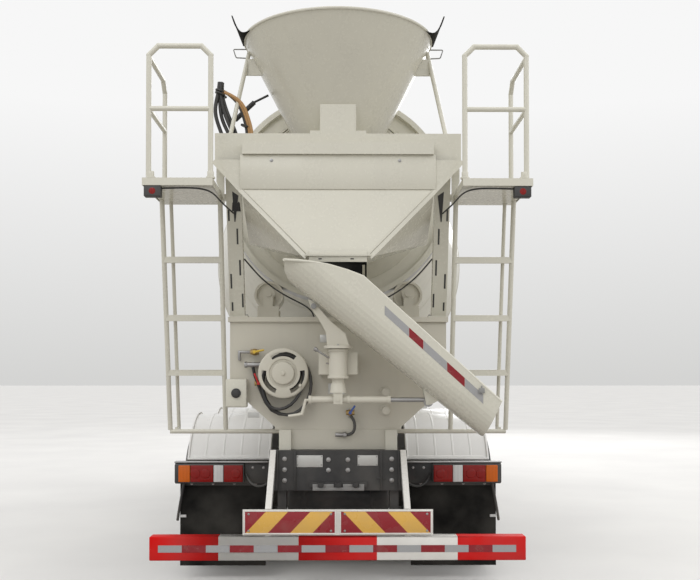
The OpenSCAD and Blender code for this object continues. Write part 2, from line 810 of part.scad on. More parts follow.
module funnel() {
  color(paint_white) difference() {
    union() {
      difference() {
        funnel_cone(0);
        intersection() {
          funnel_front_cut();
          block([-900, 900], [-4500, -2500], [3000, 3600]);
        }
      }
      spout(0, 0);
      // Rim lip
      translate([0, funnel_y, funnel_z - 12]) cylinder(r = funnel_r + 3, h = 12, $fn = 96);
      // Pillar on the beam
      block([-120, 120], [beam_y[0] + 1, beam_y[1] - 4], [beam_z[1], 3355]);
      block([-190, 190], [beam_y[0] + 1, beam_y[1] - 4], [beam_z[1], beam_z[1] + 20]);
    }
    difference() {
      translate([0, 0, 0.5]) funnel_cone(plate_t);
      intersection() {
        on_drum_axis(mouth_s - 40 - plate_t) translate([-900, -1400, 0]) cube([1800, 2800, 900]);
        block([-900, 900], [-4500, -2500], [3000, 3600 + plate_t]);
      }
    }
    translate([0, funnel_y, funnel_z - 1]) cylinder(r = funnel_r - plate_t, h = 2, $fn = 96);
    spout(plate_t, 20);
  }
}

// Standing platforms with their hand rails
deck_x = [800, 1250];
deck_y = [-4400, -3780];
deck_t = 48;
top_rail_z = 3640;
mid_rail_z = 3235;
module platforms() {
  r = rail_pipe_d / 2;
  out_x = deck_x[1] - 36;
  in_x = deck_x[0] + r;
  color(paint_white) both_sides() {
    // Deck with a folded rim, open below
    difference() {
      block(deck_x, deck_y, [deck_z - deck_t, deck_z]);
      block([deck_x[0] + 5, deck_x[1] - 5], [deck_y[0] + 5, deck_y[1] - 5],
            [deck_z - deck_t - 1, deck_z - 5]);
    }
    for (y = [-4200, -3990])
      block([deck_x[0] + 4, deck_x[1] - 4], [y, y + 8], [deck_z - deck_t + 6, deck_z - 4]);
    // Rear hoop, side hoops and the front posts
    pipe([[in_x, deck_y[0] + 30, deck_z - 1], [in_x, deck_y[0] + 30, top_rail_z - 60],
          [in_x + 60, deck_y[0] + 30, top_rail_z], [out_x - 60, deck_y[0] + 30, top_rail_z],
          [out_x, deck_y[0] + 30, top_rail_z - 60], [out_x, deck_y[0] + 30, deck_z - 1]], r);
    rod([in_x, deck_y[0] + 30, mid_rail_z], [out_x, deck_y[0] + 30, mid_rail_z], r - 1);
    pipe([[out_x, deck_y[0] + 30, top_rail_z - 70], [out_x, deck_y[1] - 120, top_rail_z - 70],
          [out_x, deck_y[1] - 50, top_rail_z - 140], [out_x, deck_y[1] - 50, deck_z - 1]], r - 0.6);
    rod([out_x, deck_y[0] + 30, mid_rail_z - 4], [out_x, deck_y[1] - 50, mid_rail_z - 4], r - 1.4);
    // Bracket to the hopper's post
    block([post_x + 52, deck_x[0] + 1], [-3920, -3858], [deck_z - deck_t, deck_z - 8]);
  }
}

// Ladders from the platforms down to the beams
ladder_y = [-3900, -3550];
ladder_foot_z = 1133;
rung_z = [1546, 1933, 2335];
stile_gap = 90;
module ladders() {
  r = stile_d / 2;
  in_x = deck_x[0] + r;
  out_x = deck_x[1] - 14 - r;
  top_z = deck_z - deck_t;
  color(paint_white) both_sides() difference() {
    union() {
      for (x = [in_x, out_x])
        rod([x, ladder_y[0], top_z + 4], [x, ladder_y[1], ladder_foot_z], r);
      for (z = rung_z) {
        y = ladder_y[0] + (ladder_y[1] - ladder_y[0]) * (top_z - z) / (top_z - ladder_foot_z);
        block([in_x, out_x], [y - 15, y + 15], [z - 23, z + 19]);
      block([out_x - 60, out_x - 34], [y, y + stile_gap], [z - 15, z + 15]);
      }
      // Bottom bar running in to the beam
      bar_x([sub_out, out_x], ladder_y[1], ladder_foot_z - r + 4, r - 1);
      // Second stile ahead of the outer one
      rod([out_x - 47, ladder_y[0] + stile_gap, top_z + 4],
          [out_x - 47, ladder_y[1] + stile_gap, ladder_foot_z], r - 4);
      block([out_x - 60, out_x - 34], [ladder_y[1], ladder_y[1] + stile_gap],
            [ladder_foot_z - 8, ladder_foot_z + 16]);
    }
    // Flat tops against the deck
    block(deck_x, deck_y, [top_z, top_z + 40]);
  }
}

// Hose reel with its hub on the panel, and its valves
reel_x = -382;
reel_z = 1540;
reel_y = [-3856, -3700];
module hose_reel() {
  color(paint_cream) {
    difference() {
      union() {
        bar_y_dir(reel_x, [reel_y[0], reel_y[0] + 6], reel_z, 175);
        bar_y_dir(reel_x, [-3740, -3734], reel_z, 175);
      }
      for (a = [30, 150, 270]) translate([reel_x, reel_y[0] - 1, reel_z]) rotate([-90, 0, 0])
        intersection() {
          difference() {
            cylinder(r = 150, h = 8);
            translate([0, 0, -1]) cylinder(r = 118, h = 10);
          }
          rotate(a) translate([0, -60, -1]) cube([160, 120, 10]);
        }
    }
    bar_y_dir(reel_x, [reel_y[0] - 12, reel_y[1]], reel_z, 62);
    bar_y_dir(reel_x, [reel_y[0] - 20, reel_y[0] - 11], reel_z, 80);
    // Hose pegs on the right of the panel
    for (z = [1280, 1410]) bar_y_dir(333, [-3850, panel_y], z, 26);
  }
  color(paint_white) block([-790, -640], [panel_y - 90, panel_y - 10], [1300, 1500]);
  color(paint_white) block([-760, -670], [panel_y - 11, panel_y], [1340, 1460]);
  color(steel) {
    bar_y_dir(-600, [panel_y - 60, panel_y], 1600, 22);
    bar_x([-650, -550], panel_y - 60, 1600, 18);
    bar_x([-20, 60], panel_y - 40, 1106, 16);
  }
}

// Hoses: a coil on the reel and loops beside it
coil_points = [
  [-382, -3790, 1400], [-300, -3792, 1372], [-225, -3790, 1330], [-190, -3786, 1270],
  [-240, -3782, 1215], [-330, -3778, 1200], [-430, -3776, 1225], [-500, -3772, 1290],
  [-520, -3768, 1380], [-560, -3762, 1470], [-600, -3758, 1560]
];
module hoses() {
  color(rubber) {
    // Coil wound between the reel's plates
    translate([reel_x, -3795, reel_z]) rotate([90, 0, 0]) rotate_extrude($fn = 64)
      translate([100.3, 0]) circle(r = 38, $fn = 24);
    pipe(coil_points, 14);
    pipe([[60.3, -3740, 1106], [90, -3740, 1106], [114, -3760, 1130], [120, -3750, 1190],
          [90, -3716, 1240]], 11);
    block([70, 110], [-3720, panel_y], [1230, 1262]);
  }
}

// Outer and inner forms of the cab: side outline, rear outline and plan outline crossed
belt_z = 2000;
skirt_z = 980;
cab_foot_z = 860;
floor_z = 1265;
floor_under = 1218;
roof_half = 1110;
arch_r = 660;
module cab_side(t) {
  // t is how far the outline lies inside the outer face
  polygon([[cab_rear_y + t, cab_foot_z - 5], [cab_rear_y + t, cab_roof_z - 90 - t / 2],
           [cab_rear_y + 80 + t / 2, cab_roof_z - t], [3780, cab_roof_z - t],
           [3960 - t / 2, cab_roof_z - 60 - t], [4050 - t, cab_roof_z - 170 - t / 2],
           [4310 - t, 1990], [cab_front_y - t, 1860], [cab_front_y - t, cab_foot_z - 5]]);
}
module cab_rear_view(t) {
  polygon([[-cab_half_w + t, cab_foot_z - 5], [-cab_half_w + t, belt_z],
           [-roof_half + t, cab_roof_z - 110], [-roof_half + 110 + t / 2, cab_roof_z - t],
           [roof_half - 110 - t / 2, cab_roof_z - t], [roof_half - t, cab_roof_z - 110],
           [cab_half_w - t, belt_z], [cab_half_w - t, cab_foot_z - 5]]);
}
module cab_plan(t) {
  corner = 240;
  difference() {
    translate([-cab_half_w + t, cab_rear_y + t])
      square([2 * (cab_half_w - t), cab_front_y - cab_rear_y - 2 * t]);
    for (side = [-1, 1]) difference() {
      translate([side * (cab_half_w - t) - (side > 0 ? corner - t : 1), cab_front_y - corner])
        square([corner - t + 1, corner + 1]);
      translate([side * (cab_half_w - corner), cab_front_y - corner])
        circle(r = corner - t, $fn = 96);
    }
  }
}
module cab_form(t) {
  intersection() {
    side_sweep([-cab_half_w - 10, cab_half_w + 10]) cab_side(t);
    rear_sweep([cab_rear_y - 10, cab_front_y + 10]) cab_rear_view(t);
    translate([0, 0, cab_foot_z - 10]) linear_extrude(cab_roof_z) cab_plan(t);
  }
}
tunnel_half = 400;
tunnel_top = 1500;
tunnel_y = 3800;
door_y = [3020, 4020];
door_z = [1240, 2760];
hinge_x = cab_half_w + 14;
hinge_y = door_y[1] + 4;
module door_outline(grow) {
  polygon([[door_y[0] - grow, door_z[0] - grow], [door_y[1] + grow, door_z[0] - grow],
           [door_y[1] + grow, belt_z + 10], [3850 + grow, door_z[1] + grow],
           [door_y[0] - grow, door_z[1] + grow]]);
}
module side_window(grow) {
  polygon([[door_y[0] + 110 - grow, belt_z + 40 - grow], [3925 + grow, belt_z + 40 - grow],
           [3810 + grow, door_z[1] - 80 + grow], [door_y[0] + 110 - grow, door_z[1] - 80 + grow]]);
}
module windscreen_window(grow) {
  polygon([[-1020 - grow, 2060 - grow], [1020 + grow, 2060 - grow], [940 + grow, 2690 + grow],
           [-940 - grow, 2690 + grow]]);
}
module cab_shell() {
  color(paint_white) {
    difference() {
      cab_form(0);
      // Cabin above the floor, leaving the engine tunnel's cover
      difference() {
        intersection() {
          cab_form(cab_wall);
          block([-2000, 2000], [0, 5000], [floor_z, 4000]);
        }
        block([-tunnel_half, tunnel_half], [cab_rear_y, tunnel_y], [floor_z - 1, tunnel_top]);
      }
      // Open space below the floor and inside the tunnel
      intersection() {
        cab_form(cab_wall);
        block([-2000, 2000], [0, 5000], [0, floor_under]);
      }
      block([-tunnel_half + 25, tunnel_half - 25], [cab_rear_y - 20, tunnel_y - 25],
            [500, tunnel_top - 25]);
      // Skirt height behind the front panel and the wheel arches
      block([-1300, 1300], [2000, 4090], [500, skirt_z]);
      block([-rail_x - 70, rail_x + 70], [2000, 4090], [500, frame_top + 12]);
      bar_x([-1300, -560], front_axle_y, wheel_z, arch_r);
      bar_x([560, 1300], front_axle_y, wheel_z, arch_r);
      // Doors, windscreen and rear window
      for (x = [[-1300, -900], [900, 1300]]) side_sweep(x) door_outline(door_gap);
      rear_sweep([3900, 4500]) windscreen_window(0);
      rear_sweep([2200, 2500]) translate([-450, 2080]) square([900, 520]);
      // Grille opening
      rear_sweep([4200, 4500]) translate([-760, 1180]) square([1520, 560]);
    }
    // Backing behind the grille
    block([-800, 800], [4292, 4312], [1140, 1780]);
    // Arms and pins of the tilting pivot
    both_sides() {
      side_sweep([rail_x + 28, rail_x + 60])
        polygon([[pivot_y - 45, floor_under + 2], [pivot_y + 45, floor_under + 2],
                 [pivot_y + 40, pivot_z], [pivot_y - 40, pivot_z]]);
      bar_x([rail_x + 28, rail_x + 60], pivot_y, pivot_z, 42);
      bar_x([rail_x - 3, rail_x + 40], pivot_y, pivot_z, pivot_r);
      // Hinge barrels of the doors
      for (z = [1400, 1860]) {
        translate([hinge_x, hinge_y, z + 42]) cylinder(r = 13, h = 40);
        block([cab_half_w - 4, hinge_x], [hinge_y + 6, hinge_y + 40], [z + 42, z + 82]);
        translate([hinge_x, hinge_y, z - 2]) cylinder(r = 6, h = 50);
      }
    }
  }
}

// A layer inside the cab's wall in which the glass lies
module glass_layer() {
  difference() {
    cab_form(22);
    cab_form(22 + glass_t);
  }
}
module cab_glass() {
  color("slategray", 0.6) {
    intersection() {
      glass_layer();
      rear_sweep([3900, 4500]) windscreen_window(0);
    }
    intersection() {
      glass_layer();
      rear_sweep([2200, 2500]) translate([-450, 2080]) square([900, 520]);
    }
  }
}

// Seats, dashboard and steering wheel
module seat(x) {
  translate([x, 2950, 0]) {
    block([-250, 250], [-20, 460], [1500, 1640]);
    block([-190, 190], [30, 400], [floor_z, 1501]);
    translate([0, -20, 1600]) rotate([10, 0, 0]) {
      block([-240, 240], [-60, 60], [0, 620]);
      block([-130, 130], [-50, 45], [620, 800]);
    }
  }
}
module cab_interior() {
  color("#3a3c40") {
    for (x = [-640, 640]) seat(x);
    // Dashboard from wall to wall
    side_sweep([-1090, 1090])
      polygon([[3790, 1560], [4080, 1400], [4200, 1400], [4200, 1880], [4080, 1930], [3830, 1880],
               [3760, 1780]]);
    block([-200, 200], [3800, 4000], [tunnel_top, 1570]);
    for (x = [-1000, 960]) block([x, x + 40], [4100, 4180], [floor_z, 1401]);
    // Steering column and wheel on the left
    rod([-640, 3800, 1700], [-640, 3600, 1840], 32);
    translate([-640, 3590, 1847]) rotate([55, 0, 0]) {
      rotate_extrude() translate([215, 0]) circle(r = 14, $fn = 24);
      for (a = [90, 210, 330]) rotate(a) translate([-20, -16, -8]) cube([225, 32, 14]);
      translate([0, 0, -12]) cylinder(r = 55, h = 24);
    }
  }
}

// Grille with its bars in the front panel's opening
module grille() {
  color(paint_black) {
    difference() {
      block([-758, 758], [4312, 4376], [1182, 1738]);
      block([-720, 720], [4320, 4400], [1216, 1704]);
    }
    for (z = [1280 : 84 : 1650]) side_sweep([-722, 722])
      polygon([[4318, z], [4366, z - 16], [4370, z + 14], [4318, z + 34]]);
    for (x = [-245, 225]) block([x, x + 20], [4316, 4350], [1210, 1710]);
  }
}

// Mirrors on arms ahead of the doors
module mirrors() {
  color(paint_black) both_sides() {
    for (z = [2080, 2640]) difference() {
      pipe([[1080, 4110, z - 30], [1260, 4150, z], [1370, 4150, z]], 13);
      cab_form(0);
    }
    difference() {
      hull() for (x = [1290, 1440], z = [2060, 2660])
        translate([x, 4120, z]) rotate([-90, 0, 0]) cylinder(r = 45, h = 70, $fn = 32);
      hull() for (x = [1292, 1438], z = [2062, 2658])
        translate([x, 4117, z]) rotate([-90, 0, 0]) cylinder(r = 32, h = 12, $fn = 32);
    }
  }
}

// A door for the right side, its window cut; the left one is its mirror image
module door_panel() {
  color(paint_white) {
    difference() {
      intersection() {
        difference() {
          cab_form(0);
          cab_form(cab_wall);
        }
        side_sweep([900, 1300]) door_outline(0);
      }
      side_sweep([900, 1300]) side_window(0);
      // Handle recess
      block([cab_half_w - 14, cab_half_w + 10], [door_y[0] + 60, door_y[0] + 220], [1760, 1830]);
      for (z = [1400, 1860]) translate([hinge_x, hinge_y, z - 45]) cylinder(r = 15, h = 140);
    }
    block([cab_half_w - 8, cab_half_w + 4], [door_y[0] + 59, door_y[0] + 221], [1785, 1803]);
    for (z = [1400, 1860]) difference() {
      union() {
        translate([hinge_x, hinge_y, z]) cylinder(r = 13, h = 40);
        block([cab_half_w - 6, hinge_x], [hinge_y - 44, hinge_y - 4], [z, z + 40]);
      }
      translate([hinge_x, hinge_y, z - 1]) cylinder(r = 6 + run_fit, h = 42);
    }
  }
}
module door_right() { door_panel(); }
module door_left() { mirror([1, 0, 0]) door_panel(); }
module door_glass() {
  color("slategray", 0.6) intersection() {
    glass_layer();
    side_sweep([900, 1300]) side_window(0);
  }
}
module door_glass_right() { door_glass(); }
module door_glass_left() { mirror([1, 0, 0]) door_glass(); }

// Steering knuckle for the right side: fork, spindle, brake and tie rod arm
arm_y = -170;
arm_z = wheel_z - king_pin_h / 2;
front_spindle_end = front_track + 60;
module knuckle() {
  fork_bottom = wheel_z - king_pin_h / 2;
  color(paint_black) {
    difference() {
      union() {
        for (z = [fork_bottom, wheel_z + eye_h / 2 + fork_gap])
          translate([king_x, front_axle_y, z]) cylinder(r = 46, h = fork_t);
        for (z = [fork_bottom, wheel_z + eye_h / 2 + fork_gap])
          block([king_x, king_x + 80], [front_axle_y - 40, front_axle_y + 40], [z, z + fork_t]);
        block([king_x + 60, king_x + 82], [front_axle_y - 40, front_axle_y + 40],
              [fork_bottom, wheel_z + king_pin_h / 2]);
        // Arm to the tie rod
        block([king_x - 22, king_x + 30], [front_axle_y + arm_y - 22, front_axle_y + arm_y + 24],
              [arm_z, arm_z + 22]);
        block([king_x - 14, king_x + 30], [front_axle_y + arm_y, front_axle_y],
              [arm_z, arm_z + 22]);
      }
      translate([king_x, front_axle_y, 300]) cylinder(r = king_r + run_fit, h = 500);
      translate([king_x, front_axle_y + arm_y, 300]) cylinder(r = 10 + run_fit, h = 200);
    }
    bar_x([king_x + 80, front_spindle_end], front_axle_y, wheel_z, spindle_r);
    bar_x([king_x + 80, king_x + 92], front_axle_y, wheel_z, 150);
  }
}
module knuckle_right() { knuckle(); }
module knuckle_left() { mirror([1, 0, 0]) knuckle(); }

// Tie rod behind the axle, its pins in the knuckles' arms
module tie_rod() {
  x = king_x;
  y = front_axle_y + arm_y;
  color(steel) {
    bar_x([-x, x], y, arm_z - 28, 16);
    both_sides() {
      translate([x, y, arm_z - 44]) cylinder(r = 26, h = 34);
      translate([x, y, arm_z - 20]) cylinder(r = 10, h = 46);
    }
  }
}

// Rims and tyres; a wheel is made about the X axis with its outer face toward +X
rim_half = 115;
rim_t = 9;
function rim_line(d) = [
  [rim_r + 16 - d, -rim_half], [rim_r - d, -rim_half + 10], [rim_r - 8 - d, -55], [rim_r - 38 - d, -32],
  [rim_r - 38 - d, 32], [rim_r - 8 - d, 55], [rim_r - d, rim_half - 10], [rim_r + 16 - d, rim_half]
];
module on_wheel_axis(x, y) {
  translate([x, y, wheel_z]) rotate([0, 90, 0]) children();
}
module rim_barrel(x, y) {
  on_wheel_axis(x, y) rotate_extrude($fn = 96)
    polygon(concat(rim_line(0), [for (i = [7 : -1 : 0]) rim_line(rim_t)[i]]));
}
module disc_holes(x, y, x0, x1) {
  // Ten hand holes through a wheel's disc
  for (a = [0 : 36 : 324]) on_wheel_axis(x, y) rotate(a) translate([185, 0, x0])
    cylinder(r = 24, h = x1 - x0, $fn = 24);
}
module front_rim() {
  color("silver") {
    rim_barrel(front_track, front_axle_y);
    difference() {
      union() {
        // Disc that bulges outward to the hub
        on_wheel_axis(front_track, front_axle_y) rotate_extrude($fn = 96)
          polygon([[0, 118], [118, 118], [150, 96], [215, 60], [rim_r - 44, 40], [rim_r - 44, 30],
                   [208, 48], [140, 84], [112, 104], [0, 104]]);
        on_wheel_axis(front_track, front_axle_y) translate([0, 0, -60]) cylinder(r = 105, h = 170);
        on_wheel_axis(front_track, front_axle_y) translate([0, 0, 110]) cylinder(r = 70, h = 52);
        for (a = [18 : 36 : 342]) on_wheel_axis(front_track, front_axle_y) rotate(a)
          translate([135, 0, 90]) cylinder(r = 14, h = 36, $fn = 6);
      }
      disc_holes(front_track, front_axle_y, 20, 120);
      bar_x([front_track - 80, front_spindle_end + 10], front_axle_y, wheel_z, spindle_r + run_fit);
    }
  }
}
module twin_rims(y) {
  mate = (twin_outer_x + twin_inner_x) / 2;
  color("silver") {
    for (x = [twin_outer_x, twin_inner_x]) rim_barrel(x, y);
    difference() {
      union() {
        for (side = [-1, 1]) translate([mate, y, wheel_z]) rotate([0, side * 90, 0])
          rotate_extrude($fn = 96)
            polygon([[0, 0], [150, 0], [190, 26], [rim_r - 60, 60], [rim_r - 40, 150],
                     [rim_r - 52, 150], [rim_r - 72, 72], [186, 40], [146, 14], [0, 14]]);
        bar_x([twin_inner_x - 80, mate + 50], y, wheel_z, 112);
        bar_x([mate + 40, twin_outer_x + 60], y, wheel_z, 88);
        for (a = [18 : 36 : 342]) on_wheel_axis(mate, y) rotate(a) translate([135, 0, 10])
          cylinder(r = 14, h = 34, $fn = 6);
      }
      disc_holes(mate, y, -60, 60);
      bar_x([twin_inner_x - 100, spindle_end + 6], y, wheel_z, spindle_r + run_fit);
    }
  }
}
module tyre(x, y) {
  color(rubber) on_wheel_axis(x, y) difference() {
    h = tyre_w / 2;
    rotate_extrude($fn = 128) polygon([
      [rim_r, -rim_half + 12], [rim_r + 30, -rim_half + 2], [400, -h + 6], [430, -h], [480, -h + 6],
      [522, -h + 22], [tyre_r - 4, -h + 34], [tyre_r, -h + 70], [tyre_r, h - 70],
      [tyre_r - 4, h - 34], [522, h - 22], [480, h - 6], [430, h], [400, h - 6],
      [rim_r + 30, rim_half - 2], [rim_r, rim_half - 12]]);
    // Circumferential grooves
    for (z = [-66, -22, 22, 66]) translate([0, 0, z - 6]) difference() {
      cylinder(r = tyre_r + 20, h = 12, $fn = 96);
      translate([0, 0, -1]) cylinder(r = tyre_r - 14, h = 14, $fn = 96);
    }
  }
}
module rim_front_right() { front_rim(); }
module rim_front_left() { mirror([1, 0, 0]) front_rim(); }
module rims_mid_right() { twin_rims(mid_axle_y); }
module rims_mid_left() { mirror([1, 0, 0]) twin_rims(mid_axle_y); }
module rims_rear_right() { twin_rims(rear_axle_y); }
module rims_rear_left() { mirror([1, 0, 0]) twin_rims(rear_axle_y); }
module twin_tyres(y) { for (x = [twin_outer_x, twin_inner_x]) tyre(x, y); }
module tyre_front_right() { tyre(front_track, front_axle_y); }
module tyre_front_left() { mirror([1, 0, 0]) tyre(front_track, front_axle_y); }
module tyres_mid_right() { twin_tyres(mid_axle_y); }
module tyres_mid_left() { mirror([1, 0, 0]) twin_tyres(mid_axle_y); }
module tyres_rear_right() { twin_tyres(rear_axle_y); }
module tyres_rear_left() { mirror([1, 0, 0]) twin_tyres(rear_axle_y); }

// Drum: two cones and a cylinder as a shell, the dished head, the ring and the output flange
function drum_line(d) = [
  [mouth_r - d, mouth_s], [cone_end_r - d, ring_s], [drum_r - d, 0], [drum_r - d, drum_mid_l],
  [cone_end_r - d, front_s - d], [500, front_s + 62 - d], [240, front_s + 96 - d]
];
module drum() {
  color(paint_white) on_drum_axis(0) {
    rotate_extrude($fn = 160) polygon(concat(
      drum_line(0), [[0, front_s + 100], [0, front_s + 100 - drum_t]],
      [for (i = [6 : -1 : 0]) drum_line(drum_t)[i]]));
    // Running ring on its web
    rotate_extrude($fn = 160)
      polygon([[cone_end_r - 6, ring_s - 12], [ring_r - 40, ring_s - 12],
               [ring_r - 40, ring_s - ring_w / 2], [ring_r, ring_s - ring_w / 2],
               [ring_r, ring_s + ring_w / 2], [ring_r - 40, ring_s + ring_w / 2],
               [ring_r - 40, ring_s + 12], [cone_end_r - 4, ring_s + 12]]);
    // Lip round the mouth
    translate([0, 0, mouth_s - 4]) difference() {
      cylinder(r = mouth_r + 14, h = 26, $fn = 160);
      translate([0, 0, -1]) cylinder(r = mouth_r - drum_t + 1, h = 30, $fn = 160);
    }
    // Flange and shaft to the gearbox
    translate([0, 0, front_s + 92]) cylinder(r = 190, h = gear_s - front_s - 92 - 22);
    translate([0, 0, gear_s - 23]) cylinder(r = output_r, h = 150);
    // Hatch on the cylindrical part
    translate([0, 0, drum_mid_l / 2]) rotate([90, 0, 30]) translate([0, 0, drum_r - 30])
      cylinder(r = 260, h = 42);
  }
}

// Support rollers under the ring, each on its own shaft
module roller(side) {
  color(steel) on_drum_axis(ring_s) translate([side * roller_x, roller_down, 0]) {
    difference() {
      translate([0, 0, -ring_w / 2 - 6]) cylinder(r = roller_r, h = ring_w + 12);
      for (z = [-ring_w / 2 - 7, ring_w / 2 - 8]) translate([0, 0, z]) difference() {
        cylinder(r = roller_r - 18, h = 15);
        translate([0, 0, -1]) cylinder(r = 42, h = 17);
      }
    }
    translate([0, 0, -ring_w / 2 - 16 - cheek_t - 8]) cylinder(r = 25, h = ring_w + 48 + 2 * cheek_t);
  }
}
module roller_right() { roller(1); }
module roller_left() { roller(-1); }

// Swivel column of the chute: pipe, flange, fork arms and the foot for the jack
pin_x = -160;
pin_z = 1980;
jack_z = 1362;
fork_y = 45;
plate_half = 6;
module chute_column() {
  color(paint_cream) {
    difference() {
      union() {
        translate([0, chute_y, 1470]) cylinder(r = column_r, h = 240);
        translate([0, chute_y, sleeve_z[1] + 2]) cylinder(r = 95, h = 18);
        // Fork arms up to the chute's pin
        for (side = [-1, 1])
          translate([0, chute_y + side * fork_y + plate_half, 0]) rotate([90, 0, 0])
            linear_extrude(2 * plate_half) union() {
              polygon([[-72, sleeve_z[1] + 18], [74, sleeve_z[1] + 18], [48, 1800], [-48, 1880],
                       [pin_x + 20, pin_z + 4], [pin_x - 20, pin_z - 8], [-118, 1880],
                       [-80, 1810]]);
              translate([pin_x, pin_z]) circle(r = 23);
            }
        // Cone below the sleeve and the fork of the jack
        translate([0, chute_y, 1409]) cylinder(r1 = 56, r2 = 44, h = 63);
        for (side = [-1, 1])
          block([-30, 30], [chute_y + side * 40 - 7, chute_y + side * 40 + 7], [jack_z - 28, 1420]);
      }
      translate([pin_x, chute_y + 100, pin_z]) rotate([90, 0, 0])
        cylinder(r = 12 + run_fit, h = 200);
      translate([0, chute_y + 100, jack_z]) rotate([90, 0, 0]) cylinder(r = 10 + run_fit, h = 200);
    }
  }
}

// Chute: a trough with a receiving pan, its rolled lip, lugs and pins
lip_line = [[-344, 2262], [-250, 2257], [-150, 2246], [-50, 2226], [60, 2194], [162, 2156],
            [1055, 1351]];
chute_foot = [-250, 2090];
chute_end = [950, 1124];
chute_in_w = 500;
rod_pin = [600, 1345];
rod_pin_r = 7;
function chute_half(x) = chute_in_w / 2
  - (chute_in_w - chute_out_w) / 2 * (x + 344) / (1055 + 344);
module trough_slice(half, depth_in, t) {
  // A U outline with round corners, its bottom at the origin
  rotate([90, 0, 90]) linear_extrude(1) hull() {
    for (side = [-1, 1]) translate([side * (half - depth_in), depth_in]) circle(r = depth_in - t, $fn = 32);
    translate([-half + t, 500]) square([2 * (half - t), 1]);
  }
}
module trough_form(t) {
  // The trough's U swept along its slope, narrowing to the outlet
  hull() {
    translate([chute_foot[0] - 300, chute_y, chute_foot[1] + 300 * tan(chute_slope)])
      rotate([0, chute_slope, 0]) trough_slice(chute_half(-344) + 10, 190, t);
    translate([chute_end[0] + 200, chute_y, chute_end[1] - 200 * tan(chute_slope)])
      rotate([0, chute_slope, 0]) trough_slice(chute_half(1150), 150, t);
  }
}
module chute() {
  color(paint_white) {
    difference() {
      intersection() {
        trough_form(0);
        translate([0, chute_y + 400, 0]) rotate([90, 0, 0]) linear_extrude(800)
          polygon(concat(lip_line, [chute_end, [-250, 2000], [-322, 2140], [-348, 2200]]));
      }
      intersection() {
        trough_form(plate_t);
        translate([0, chute_y + 400, 0]) rotate([90, 0, 0]) linear_extrude(800)
          polygon([[-337, 2400], [1300, 2400], [1300, 700], [-240, 2000], [-315, 2144], [-341, 2203]]);
      }
    }
    // Rolled lip
    for (side = [-1, 1])
      pipe([for (p = lip_line) [p[0], chute_y + side * (chute_half(p[0]) - 2), p[1]]], 9);
    rod([lip_line[0][0], chute_y - chute_half(-344) - 4, lip_line[0][1]],
        [lip_line[0][0], chute_y + chute_half(-344) + 4, lip_line[0][1]], 9.4);
    // Lugs and pin of the fork
    for (side = [-1, 1]) translate([0, chute_y + side * 26 + 6, 0]) rotate([90, 0, 0])
      linear_extrude(12) polygon([[pin_x - 17, pin_z - 14], [pin_x + 17, pin_z - 14],
                                  [pin_x + 60, 1985], [pin_x - 40, 2030]]);
    translate([pin_x, chute_y + 64, pin_z]) rotate([90, 0, 0]) cylinder(r = 12, h = 128);
    // Lugs and pin of the jack's rod
    for (side = [-1, 1]) translate([0, chute_y + side * 34 + 5, 0]) rotate([90, 0, 0])
      linear_extrude(10) polygon([[rod_pin[0] - 16, rod_pin[1] - 16], [rod_pin[0] + 16, rod_pin[1] - 14],
                                  [rod_pin[0] + 70, 1360], [rod_pin[0] - 40, 1450]]);
    translate([rod_pin[0], chute_y + 44, rod_pin[1]]) rotate([90, 0, 0])
      cylinder(r = rod_pin_r, h = 88);
  }
}

// Screw jack: the tube with its crank, and the rod that screws out of it
jack_rod_r = 15;
module jack_tube() {
  color(paint_cream) difference() {
    union() {
      bar_x([-190, 350], chute_y, jack_z, 23);
      translate([0, chute_y + 28, jack_z]) rotate([90, 0, 0]) cylinder(r = 27, h = 56);
      translate([0, chute_y + 58, jack_z]) rotate([90, 0, 0]) cylinder(r = 10, h = 116);
      // Crank handle
      pipe([[-172, chute_y, jack_z], [-215, chute_y, jack_z - 4], [-240, chute_y, jack_z - 96],
            [-330, chute_y, jack_z - 110]], 10);
    }
    bar_x([60, 360], chute_y, jack_z, jack_rod_r + run_fit);
  }
}
module jack_rod() {
  color(steel) difference() {
    union() {
      bar_x([120, rod_pin[0] - 20], chute_y, jack_z, jack_rod_r);
      translate([rod_pin[0], chute_y + 20, rod_pin[1]]) rotate([90, 0, 0]) cylinder(r = 30, h = 40);
    }
    translate([rod_pin[0], chute_y + 30, rod_pin[1]]) rotate([90, 0, 0])
      cylinder(r = rod_pin_r + 10, h = 60);
  }
}

frame();
front_axle();
rear_axles();
engine();
side_tanks();
front_bumper();
front_steps();
lamps();
underrun_bar();
marker_board();
rear_fenders();
rubber_flaps();
subframe();
front_pedestal();
drum_drive();
water_tank();
air_intake();
rear_support();
hopper_frame();
collector();
funnel();
platforms();
ladders();
hose_reel();
hoses();
cab_shell();
cab_glass();
cab_interior();
grille();
mirrors();
door_left();
door_right();
door_glass_left();
door_glass_right();
knuckle_left();
knuckle_right();
tie_rod();
rim_front_left();
rim_front_right();
rims_mid_left();
rims_mid_right();
rims_rear_left();
rims_rear_right();
tyre_front_left();
tyre_front_right();
tyres_mid_left();
tyres_mid_right();
tyres_rear_left();
tyres_rear_right();
drum();
roller_left();
roller_right();
chute_column();
chute();
jack_tube();
jack_rod();
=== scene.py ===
# A white concrete mixer truck seen from behind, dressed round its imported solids.
import json
from math import cos, exp, pi, radians, sin

import bpy
from mathutils import Matrix, Vector

